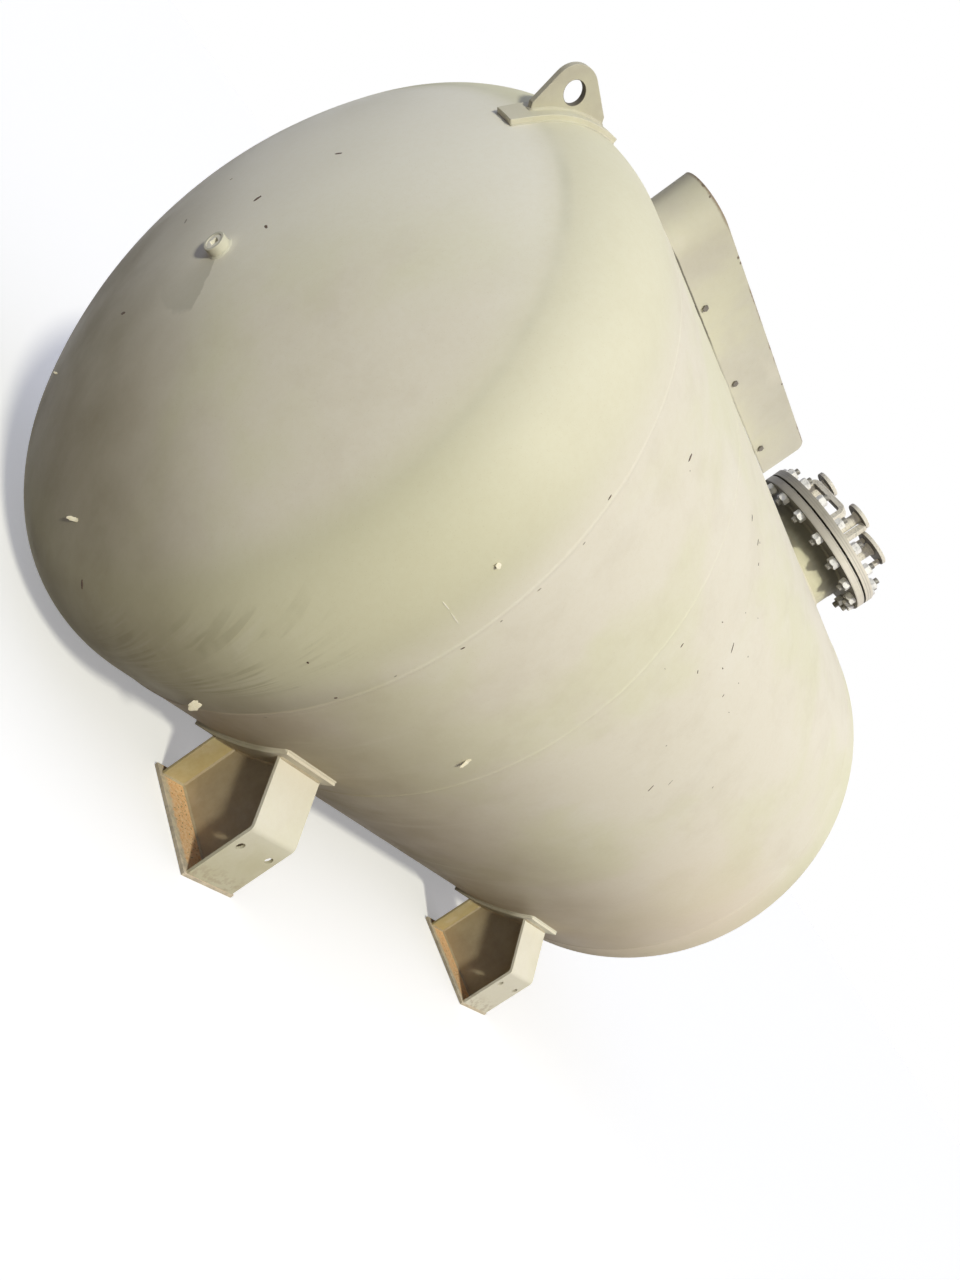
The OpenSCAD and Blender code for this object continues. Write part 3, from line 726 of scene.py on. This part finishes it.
SHELL = shell_paint()
NEAR_HEAD = head_paint(NEAR)
FAR_HEAD = head_paint(FAR)
LUG = plate_paint("lug_paint", (0.550, 0.520, 0.405), 0.3, hole=True)
PAD = plate_paint("pad_paint", (0.670, 0.640, 0.500), 0.3)
COUPLING = plate_paint("coupling_paint", (0.640, 0.620, 0.510), 0.2)
PLUG = plate_paint("plug_paint", (0.880, 0.855, 0.740), 0.1)
FOOT = foot_paint("foot_paint")
WRAP = foot_paint("wrapper_paint", painted_shade_under_tank=True)
# the rib and the web are darker partly as painted shade inside the feet under the tank; their tint clouds are
# grime
RIB = plate_paint("rib_paint", (0.550, 0.475, 0.250), 0.3, 0.35, (0.39, 0.29, 0.13), 0.6)
WEB = plate_paint("web_paint", (0.560, 0.490, 0.345), 0.3, 0.45, (0.36, 0.29, 0.19), 0.7)
NECK = neck_paint()
GUARD = guard_paint()
FLANGE = steel_flange_paint()
BASE = base_plate_paint()
ZINC = zinc("bright_zinc", (0.93, 0.92, 0.88), 0.34, 0.12)
DULL_ZINC = zinc("dull_zinc", (0.20, 0.18, 0.15), 0.42, 0.20)
THREAD = zinc("stud_zinc", (0.46, 0.44, 0.39), 0.40, 0.30)
RUBBER = rubber()
CHIP = chip_material("bare_chip", (0.045, 0.030, 0.022), (0.150, 0.095, 0.060))
FAINT = chip_material("faint_chip", (0.30, 0.26, 0.19), (0.42, 0.38, 0.29))
SCRATCH = chip_material("pale_scratch", (0.84, 0.80, 0.66), (0.90, 0.87, 0.76))
FLECK = chip_material("cream_fleck", (0.86, 0.78, 0.55), (0.93, 0.88, 0.70))

# every other node has the paint of the flange
FINISHES = {
    "shell_course_short": SHELL, "shell_course_long": SHELL, "end_coupling": COUPLING, "end_plug": PLUG,
    "manhole_neck": NECK, "manhole_gasket": RUBBER, "manhole_nuts_lower": ZINC, "manhole_nuts_upper": ZINC,
    "manhole_studs": ZINC, "guard_bolts": DULL_ZINC, "guard_wall": GUARD, "guard_cleats": GUARD,
    "base_plates": BASE, "lifting_lugs": LUG, "lug_pads": PAD, "wrapper_pads": WRAP, "end_plates": FOOT,
    "foot_webs": WEB, "foot_ribs": RIB, "seam_beads": SHELL,
}
SLOTS = {p["node"]: p["material_slot"] for p in frame["record"]["subparts"]}
for name, obj in nodes.items():
    for s in obj.material_slots:
        s.material = FINISHES.get(name, FLANGE)

piece("near_head_shell", head(NEAR, "near_head_shell", COUPLING_R), NEAR_HEAD, "cream_paint",
      "head_near", smooth=40)
piece("far_head_shell", head(FAR, "far_head_shell"), FAR_HEAD, "cream_paint", "head_far", smooth=40)

# nodes whose edges are rounded, each with the width of its bevel
EDGES = {
    "lifting_lugs": 0.002, "lug_pads": 0.002, "guard_wall": 0.0008, "guard_cleats": 0.0008,
    "manhole_neck": 0.0008, "manhole_flange": 0.0008, "manhole_cover": 0.0008, "bridge_handle": 0.003,
    "tall_disc": 0.0008, "rear_disc": 0.0008, "front_disc": 0.0008, "tall_post": 0.0015,
    "front_props": 0.0012, "tall_stem": 0.0006, "rear_stem": 0.0006, "front_stem": 0.0006,
    "wrapper_pads": 0.0018, "base_plates": 0.0018, "end_plates": 0.0018, "foot_webs": 0.0012,
    "foot_ribs": 0.0018, "end_coupling": 0.0016, "end_plug": 0.0008, "guard_bolts": 0.0004,
    "manhole_nuts_lower": 0.0005, "manhole_nuts_upper": 0.0005, "manhole_gasket": 0.0004,
}
for node, width in EDGES.items():
    bevelled(node, FINISHES.get(node, FLANGE), SLOTS[node], width)


# ---------------------------------------------------------------- welds
# A weld path is (points, closed); a point is (place, normal of one face, normal of the other).
def tube(rings, closed):
    """Skin through rings of equally many points, capped at both ends unless it closes on itself."""
    count = len(rings[0])
    verts = [p for ring in rings for p in ring]
    starts = list(range(0, len(verts), count))
    faces = []
    for a, b in zip(starts, starts[1:] + starts[:1] if closed else starts[1:]):
        faces += band(a, b, count)
    if not closed:
        faces.append(tuple(range(count))[::-1])
        faces.append(tuple(range(starts[-1], starts[-1] + count)))
    return verts, faces


def resampled(path, step, closed):
    """Points of a weld path at even steps, each with its distance along the path as a fourth value."""
    pts = path + [path[0]] if closed else path
    lengths = [0.0]
    for a, b in zip(pts, pts[1:]):
        lengths.append(lengths[-1] + (b[0] - a[0]).length)
    total = lengths[-1]
    count = max(2, round(total / step))
    out, k = [], 0
    for i in range(count if closed else count + 1):
        s = total * i / count
        while k < len(lengths) - 2 and lengths[k + 1] < s:
            k += 1
        gap = lengths[k + 1] - lengths[k] or 1.0
        u = min(1.0, (s - lengths[k]) / gap)
        a, b = pts[k], pts[k + 1]
        out.append((a[0].lerp(b[0], u), a[1].lerp(b[1], u).normalized(), a[2].lerp(b[2], u).normalized(), s))
    return out


def fillet_rings(path, leg, closed, pitch, seed):
    """Rings round a fillet weld: its root, then its face, which bulges and has the ripples of its pass.
    Open ends are thinner."""
    root_sunk, edge_sunk, bulge_out = 0.12, 0.06, 0.10
    ripple_out, ripple_lag, end_share = 0.055, 0.28, 0.35
    phase = random.Random(seed).random() * 6.28
    pts = resampled(path, pitch / 3, closed)
    face = steps(0, math.pi / 2, 5)
    rings = []
    for p, n1, n2, s in pts:
        along_1 = (n2 - n1 * n2.dot(n1)).normalized()
        along_2 = (n1 - n2 * n1.dot(n2)).normalized()
        wander = 1.0 + 0.10 * noise.noise(Vector((s * 22.0, seed * 3.1, phase)))
        to_end = min(s, pts[-1][3] - s)
        fade = 1.0 if closed else min(1.0, end_share + to_end / leg * (1 - end_share))
        ring = [p - (n1 + n2) * leg * root_sunk]
        for f in face:
            bulge = math.sin(2 * f)
            ripple = math.sin(2 * math.pi * (s / pitch - ripple_lag * bulge) + phase)
            rho = 1.0 / (math.cos(f) + math.sin(f)) + bulge_out * bulge
            rho *= 1.0 + ripple_out * bulge * ripple
            q = p + (along_1 * math.cos(f) + along_2 * math.sin(f)) * leg * rho * wander * fade
            sunk = n1 if f == face[0] else n2 if f == face[-1] else Vector()
            ring.append(q - sunk * leg * edge_sunk)
        rings.append(ring)
    return rings


def welds(name, paths, leg, material, pitch=0.006):
    """One piece of fillet welds."""
    tubes = [tube(fillet_rings(path, leg, closed, pitch, k + len(name)), closed)
             for k, (path, closed) in enumerate(paths)]
    piece(name, closed_mesh(name, *joined(tubes)), material, "cream_paint", smooth=50)


def seam_bead(x, seed):
    """A girth weld: a low crown with the ripples of its last pass, on a base inside the plate."""
    pitch, width, height = 0.0075, 0.015, 0.0020
    edge_sunk, base_sunk, base_share = 0.0004, 0.002, 0.6

    def place(along, r, turn):
        return Vector((TANK_X + along, -r * math.sin(turn), AXIS_Z + r * math.cos(turn)))

    rings = []
    for turn in circle(round(2 * math.pi * SHELL_R / (pitch / 3))):
        s = SHELL_R * turn
        wander = noise.noise(Vector((math.cos(turn) * 9, math.sin(turn) * 9, seed)))
        ring = []
        for u in steps(-1, 1, 6):
            crown = 1 - u * u
            ripple = math.sin(2 * math.pi * (s / pitch - 0.35 * crown))
            r = SHELL_R + height * crown * (1.0 + 0.22 * ripple + 0.25 * wander) - edge_sunk
            along = x + (u * width / 2) * (1 + 0.06 * ripple + 0.15 * wander) + wander * 0.0015
            ring.append(place(along, r, turn))
        for u in (base_share, -base_share):
            ring.append(place(x + u * width / 2, SHELL_R - base_sunk, turn))
        rings.append(ring)
    return tube(rings, True)


beads = [seam_bead(x, 3.7 * k) for k, x in enumerate((-HALF_LEN, MID_SEAM, HALF_LEN))]
piece("girth_welds", closed_mesh("girth_welds", *joined(beads)), SHELL, "cream_paint",
      "seam_beads", smooth=50)


def ring_path(centre, radius, n2, count=48):
    """Circle about a vertical line: a round wall standing on, or hanging under, a level face."""
    pts = []
    for a in circle(count):
        n = Vector((math.cos(a), math.sin(a), 0))
        pts.append((Vector(centre) + n * radius, n, Vector(n2)))
    return pts, True


def saddle_path():
    """The manhole's neck on the shell."""
    pts = []
    for a in circle(120):
        x, y = NECK_R * math.cos(a), NECK_R * math.sin(a)
        h = math.sqrt(SHELL_R ** 2 - y ** 2)
        pts.append((Vector((MAN_X + x, y, AXIS_Z + h)), Vector((math.cos(a), math.sin(a), 0)),
                    Vector((0, y / SHELL_R, h / SHELL_R))))
    return pts, True


def coupling_path():
    """The half coupling in the near head."""
    pts = []
    a = math.asin(COUPLING_R / CROWN_R)
    for turn in circle(40):
        n1 = Vector((0, -math.sin(turn), math.cos(turn)))
        pts.append((on_head(NEAR, *dish(a, 0), turn), n1, head_normal(NEAR, a, turn)))
    return pts, True


def straight(a, b, n1, n2):
    """Weld path from a to b."""
    return [(Vector(a), Vector(n1), Vector(n2)), (Vector(b), Vector(n1), Vector(n2))], False


def pad_leans():
    """The lug pad's first and last lean, on the steps of the head's outline in the source."""
    def length(a):
        return CROWN_R * min(a, JOIN) + KNUCKLE_R * max(a - JOIN, 0)

    def lean(s):
        past = s - length(JOIN)
        return JOIN + past / (CROWN_R if past < 0 else KNUCKLE_R)

    lo = lean(length(LUG_LEAN) - LUG_HALF_BASE - PAD_DOWN)
    hi = lean(length(LUG_LEAN) + LUG_HALF_BASE + PAD_UP)
    leans = steps(0, JOIN, HEAD_STEPS) + steps(JOIN, math.pi / 2, HEAD_STEPS)
    inside = [a for a in leans if lo < a < hi]
    return inside[0], inside[-1]


def pad_paths(side):
    """Both long edges of a lug's pad, and its end near the seam."""
    lo, hi = pad_leans()
    half = math.asin(PAD_HALF_W / SHELL_R)
    paths = []
    for s in (-1, 1):
        turn = s * half
        n1 = Vector((0, -math.cos(turn) * s, -math.sin(turn) * s))
        pts = [(on_head(side, *dish(a, 0), turn), n1, head_normal(side, a, turn)) for a in steps(lo, hi, 24)]
        paths.append((pts, False))
    pts = []
    for turn in steps(-half, half, 12):
        n1 = Vector((-side * math.sin(hi), -math.cos(hi) * math.sin(turn), math.cos(hi) * math.cos(turn)))
        pts.append((on_head(side, *dish(hi, 0), turn), n1, head_normal(side, hi, turn)))
    paths.append((pts, False))
    return paths


def lug_paths(side):
    """Both faces and both ends of a lug where it stands on its pad."""
    middle = on_head(side, *dish(LUG_LEAN, PAD_T), 0)
    along = Vector((-side * math.sin(LUG_LEAN), 0, math.cos(LUG_LEAN)))

    def foot(reach):
        """Lean at which the lug's straight side, reach from its middle, meets the pad."""
        a, b = 0.0, math.pi / 2
        for _ in range(40):
            c = (a + b) / 2
            if (on_head(side, *dish(c, PAD_T), 0) - middle).dot(along) < reach:
                a = c
            else:
                b = c
        return (a + b) / 2

    lo, hi = foot(-LUG_HALF_BASE), foot(LUG_HALF_BASE)
    paths = []
    for s in (-1, 1):
        pts = []
        for a in steps(lo, hi, 24):
            p = on_head(side, *dish(a, PAD_T), 0)
            p.y = s * LUG_HALF_T
            pts.append((p, Vector((0, s, 0)), head_normal(side, a, 0)))
        paths.append((pts, False))
    reach = Vector((0, LUG_HALF_T + 0.003, 0))
    for a, sign in ((lo, -1), (hi, 1)):
        p = on_head(side, *dish(a, PAD_T), 0)
        paths.append(straight(p - reach, p + reach, along * sign, head_normal(side, a, 0)))
    return paths


def wrap_point(x, turn, r=SHELL_R):
    """Point on the shell; turn 0 is straight down and grows towards +Y."""
    return Vector((TANK_X + x, r * math.sin(turn), AXIS_Z - r * math.cos(turn)))


def foot_paths(sx, sy):
    """Weld paths of one foot: those of its wrapper pad on the shell, and those of its plates."""
    x0 = sx * FOOT_X
    # distance from the tank's middle line at which the web starts, on the rib, and ends, on the end plate
    web_from, web_to = RIB_Y + FOOT_T, END_Y - FOOT_T
    out = Vector((0, sy * math.cos(STRUT), math.sin(STRUT)))

    def normal(t):
        return Vector((0, sy * math.sin(t), -math.cos(t)))

    def upward(t):
        """Direction round the shell."""
        return Vector((0, sy * math.cos(t), math.sin(t)))

    def across(p, half, n1, n2):
        """Straight weld through p, along the tank."""
        a, b = Vector(p), Vector(p)
        a.x, b.x = TANK_X + x0 - half, TANK_X + x0 + half
        return straight(a, b, n1, n2)

    wrap, joint = [], []
    # wrapper pad on the shell
    t0 = math.asin(RIB_Y / WRAP_R) - WRAP_INNER
    t1 = STRUT + WRAP_OUTER
    for s in (-1, 1):
        pts = []
        for t in steps(t0, t1, 24):
            pts.append((wrap_point(x0 + s * WRAP_HALF_W, sy * t), Vector((s, 0, 0)), normal(t)))
        wrap.append((pts, False))
    for t, s in ((t0, -1), (t1, 1)):
        wrap.append(across(wrap_point(x0, sy * t), WRAP_HALF_W, upward(t) * s, normal(t)))
    # rib and end plate on the base plate
    for y, s in ((RIB_Y, -1), (web_from, 1), (web_to, -1)):
        joint.append(across((0, sy * y, BASE_T), FOOT_HALF_W, (0, sy * s, 0), (0, 0, 1)))
    # web on the base plate, up the rib, up the end plate, and under the wrapper pad
    rib_top = AXIS_Z - math.sqrt(WRAP_R ** 2 - web_from ** 2)
    knee_y = web_to - KNEE_R
    knee_z = KNEE_H - (KNEE_R + FOOT_T) * math.tan(STRUT / 2)
    strut_top = wrap_point(x0, sy * STRUT, WRAP_R) - out * FOOT_T
    strut_turn = math.atan2(abs(strut_top.y), AXIS_Z - strut_top.z)
    for s in (-1, 1):
        x = TANK_X + x0 + s * FOOT_T / 2
        face = Vector((s, 0, 0))
        corner = (x, sy * web_from, BASE_T)
        joint.append(straight(corner, (x, sy * web_to, BASE_T), face, (0, 0, 1)))
        joint.append(straight(corner, (x, sy * web_from, rib_top), face, (0, sy, 0)))
        pts = [(Vector((x, sy * web_to, BASE_T)), face, Vector((0, -sy, 0)))]
        for a in steps(0, STRUT, 8):
            p = Vector((x, sy * (knee_y + KNEE_R * math.cos(a)), knee_z + KNEE_R * math.sin(a)))
            pts.append((p, face, Vector((0, -sy * math.cos(a), -math.sin(a)))))
        pts.append((Vector((x, *strut_top.yz)), face, -out))
        joint.append((pts, False))
        pts = []
        for t in steps(math.asin(web_from / WRAP_R), strut_turn, 16):
            pts.append((wrap_point(x0 + s * FOOT_T / 2, sy * t, WRAP_R), face, normal(t)))
        joint.append((pts, False))
    # end plate and rib under the wrapper pad
    for t, n1 in ((STRUT, out), (strut_turn, -out)):
        joint.append(across(wrap_point(x0, sy * t, WRAP_R), FOOT_HALF_W, n1, normal(t)))
    for y, s in ((RIB_Y, -1), (web_from, 1)):
        t = math.asin(y / WRAP_R)
        joint.append(across(wrap_point(x0, sy * t, WRAP_R), FOOT_HALF_W, (0, sy * s, 0), normal(t)))
    return wrap, joint


under_flange = ring_path((MAN_X, 0, FLANGE_TOP - FLANGE_T), NECK_R, (0, 0, -1), 96)
on_cover = [ring_path((MAN_X + x, y, COVER_TOP), STEM_FLARE_R, (0, 0, 1)) for x, y in STEMS]
wrap_welds, foot_welds = [], []
for sx in (-1, 1):
    for sy in (-1, 1):
        w, j = foot_paths(sx, sy)
        wrap_welds += w
        foot_welds += j

welds("manhole_saddle_weld", [saddle_path()], 0.008, SHELL)
welds("manhole_flange_weld", [under_flange], 0.007, NECK)
welds("lug_pad_welds", pad_paths(NEAR) + pad_paths(FAR), 0.0032, LUG)
welds("lug_welds", lug_paths(NEAR) + lug_paths(FAR), 0.0045, LUG)
welds("coupling_weld", [coupling_path()], 0.0045, COUPLING, 0.005)
welds("fitting_welds", on_cover, 0.005, FLANGE, 0.004)
welds("wrapper_welds", wrap_welds, 0.005, WRAP)
welds("foot_welds", foot_welds, 0.005, WEB)


# ---------------------------------------------------------------- threaded studs
def stud_mesh():
    """Studs with a helical thread at both ends, where they show past their nuts."""
    z0 = FLANGE_TOP - FLANGE_T - NUT_H - STUD_TAIL
    z1 = COVER_TOP + NUT_H + STUD_TAIL
    pitch, depth, around = 0.003, 0.0016, 20
    chamfer_l, chamfer_r = 0.0022, 0.0016
    threaded = STUD_TAIL + 0.003
    heights = []
    for lo, hi in ((z0, z0 + threaded), (z1 - threaded, z1)):
        heights += steps(lo, hi, round((hi - lo) / (pitch / 4)))
    studs = []
    for k in range(STUD_COUNT):
        a = 2 * math.pi * (k + 0.5) / STUD_COUNT
        cx, cy = MAN_X + STUD_CIRCLE_R * math.cos(a), STUD_CIRCLE_R * math.sin(a)
        rings = []
        for z in heights:
            taper = max(0.0, 1 - min(z - z0, z1 - z) / chamfer_l) * chamfer_r
            ring = []
            for i, f in enumerate(circle(around)):
                wave = (z / pitch - i / around) % 1.0
                groove = depth * (1 - abs(2 * wave - 1))
                r = min(STUD_R - groove, STUD_R - taper)
                ring.append(Vector((cx + r * math.cos(f), cy + r * math.sin(f), z)))
            rings.append(ring)
        studs.append(tube(rings, False))
    return mesh_of("threaded_studs", *joined(studs))


piece("threaded_studs", stud_mesh(), THREAD, "zinc", "manhole_studs", smooth=60)


# ---------------------------------------------------------------- chips and flecks in the paint
# kind: points round it, height (m), raggedness, curl of its loose edge
KINDS = {
    "d": (12, 0.0006, 0.25, 0.0),       # dark chip down to the steel
    "f": (12, 0.0004, 0.20, 0.0),       # faint chip
    "c": (18, 0.0010, 0.38, 0.75),      # cream fleck of loose paint
    "p": (12, 0.0004, 0.15, 0.0),       # pale scratch
}
# where, distance along the shell or radius on the head (m), turn from the top towards -Y (degrees),
# length and width (mm), lean from the lengthwise line (degrees), kind
MARKS = (
    ("shell", -0.278, 42.9, 11, 4.0, 80, "d"),
    ("shell", -0.263, 52.2, 6, 4.0, 36, "f"),
    ("shell", -0.368, 57.9, 10, 3.5, -19, "d"),
    ("shell", -0.170, 50.0, 8, 3.1, -16, "f"),
    ("shell", -0.484, 66.8, 15, 3.6, -95, "d"),
    ("shell", -0.243, 58.7, 33, 4.2, 61, "d"),
    ("shell", -0.129, 56.6, 8, 4.9, 1, "f"),
    ("shell", -0.232, 62.6, 10, 4.6, 1, "d"),
    ("shell", -0.337, 67.0, 14, 3.6, 37, "d"),
    ("shell", -0.478, 71.5, 6, 2.6, -13, "f"),
    ("shell", -0.101, 61.3, 7, 3.4, 0, "f"),
    ("shell", -0.140, 65.3, 12, 4.0, 83, "d"),
    ("shell", -0.052, 66.1, 9, 2.9, -15, "f"),
    ("shell", -0.198, 79.0, 7, 4.3, -60, "f"),
    ("shell", -0.069, 85.9, 30, 3.8, 72, "d"),
    ("shell", -0.023, 82.5, 22, 3.2, 74, "f"),
    ("shell", 0.180, 76.9, 9, 5.4, 84, "f"),
    ("shell", -0.875, 47.4, 30, 7.5, 96, "d"),
    ("shell", -0.854, 48.9, 5, 4.0, 37, "f"),
    ("shell", -0.396, 38.1, 22, 5.0, 72, "d"),
    ("shell", -0.316, 39.8, 25, 5.0, 85, "d"),
    ("shell", -0.300, 39.3, 8, 5.0, 67, "f"),
    ("near", 0.164, -36.9, 26, 10.5, 35, "d"),
    ("near", 0.123, 18.8, 18, 8.5, 70, "d"),
    ("near", 0.268, -101.5, 26, 9.0, 35, "f"),
    ("near", 0.310, -160.5, 26, 11.0, -149, "d"),
    ("near", 0.332, -73.5, 10, 5.5, 102, "f"),
    ("near", 0.798, 149.8, 26, 10.0, -10, "d"),
    ("near", 0.909, 110.3, 8, 6.0, 0, "d"),
    ("near", 0.358, -16.0, 24, 6.0, 57, "d"),
    ("near", 0.640, -153.8, 20, 7.0, -135, "c"),
    ("near", 0.685, 156.3, 30, 14.2, -98, "c"),
    ("shell", -1.138, 134.6, 34, 34.0, -60, "c"),
    ("near", 0.9137, 81.8, 17, 12.3, -53, "c"),
    ("shell", -0.654, 105.5, 40, 12.0, -81, "c"),
    ("near", 0.9137, 90.3, 30, 3.0, 1, "p"),
    ("shell", -1.155, 90.6, 46, 2.4, 5, "p"),
    ("shell", -1.091, 111.8, 10, 6.5, -80, "d"),
    ("shell", -1.061, 125.2, 12, 5.0, -75, "f"),
    ("shell", -1.061, 92.6, 12, 4.4, -80, "d"),
    ("shell", -1.088, 64.1, 16, 5.0, 85, "d"),
    ("shell", -1.060, 70.9, 10, 4.0, 80, "f"),
    ("shell", -1.060, 79.6, 12, 4.0, -85, "f"),
    ("shell", -1.061, 86.2, 8, 4.0, 85, "f"),
    ("shell", -1.088, 102.4, 9, 4.0, 80, "f"),
)
FLAKE_SEED = 40
FLAKE_SINK = 0.0008
TOWARD_SUN = Vector((-0.39, -0.74, 0.55))


def head_lean(radius):
    """Lean of the head's outline where it is this far from the axis."""
    if radius <= CROWN_R * math.sin(JOIN):
        return math.asin(radius / CROWN_R)
    return math.asin(min(1.0, (radius - (SHELL_R - KNUCKLE_R)) / KNUCKLE_R))


def mark_frame(where, u, turn):
    """Place on the shell or the near head, its lengthwise and round-about directions, its normal."""
    around = Vector((0, -math.cos(turn), -math.sin(turn)))
    if where == "shell":
        normal = Vector((0, -math.sin(turn), math.cos(turn)))
        return Vector((TANK_X + u, 0, AXIS_Z)) + normal * SHELL_R, Vector((1, 0, 0)), around, normal
    a = head_lean(u)
    normal = head_normal(NEAR, a, turn)
    return on_head(NEAR, *dish(a, 0), turn), normal.cross(around), around, normal


def settle(p, where, lift):
    """Point lifted off the surface right under it."""
    flat = Vector((0, p.y, p.z - AXIS_Z))
    if where == "shell":
        return Vector((p.x, 0, AXIS_Z)) + flat.normalized() * (SHELL_R + lift)
    turn = math.atan2(-p.y, p.z - AXIS_Z)
    a = head_lean(min(flat.length, SHELL_R - 0.0002))
    return on_head(NEAR, *dish(a, 0), turn) + head_normal(NEAR, a, turn) * lift


def flake(k, where, u, turn, length, width, lean, kind):
    """Closed thin flake with a ragged outline that lies on the curved plate."""
    rng = random.Random(FLAKE_SEED + k)
    place, one, two, normal = mark_frame(where, u, math.radians(turn))
    lean = math.radians(lean)
    major = one * math.cos(lean) + two * math.sin(lean)
    minor = normal.cross(major)
    # from mm to half the size in metres
    half_l, half_w = length / 2000, width / 2000
    count, lift, ragged, curl = KINDS[kind]
    rim = []
    for f in circle(count):
        r = 1 - ragged * rng.random()
        rim.append(place + major * (math.cos(f) * r * half_l) + minor * (math.sin(f) * r * half_w))
    sunward = (TOWARD_SUN - normal * normal.dot(TOWARD_SUN)).normalized()

    def laid(q, height):
        """Lies on the plate; the edge away from the sun has come off it and curls out."""
        off = max(0.0, half_w - (q - place).dot(sunward)) * curl
        return settle(q, where, height + off)

    verts = []
    for shrink, height in ((1.0, -FLAKE_SINK), (1.0, lift * 0.5), (0.86, lift)):
        verts += [laid(place + (q - place) * shrink, height) for q in rim]
    verts += [laid(place, lift), laid(place, -FLAKE_SINK)]
    top, bottom = 3 * count, 3 * count + 1
    faces = band(0, count, count) + band(count, 2 * count, count)
    for i in range(count):
        n = (i + 1) % count
        faces += [(2 * count + i, 2 * count + n, top), (n, i, bottom)]
    return verts, faces


def marks(name, kind, material):
    """One piece of all flakes of a kind."""
    flakes = [flake(k, *mark) for k, mark in enumerate(MARKS) if mark[-1] == kind]
    piece(name, closed_mesh(name, *joined(flakes)), material, "cream_paint", smooth=40)


marks("dark_chips", "d", CHIP)
marks("faint_chips", "f", FAINT)
marks("cream_flecks", "c", FLECK)
marks("pale_scratches", "p", SCRATCH)
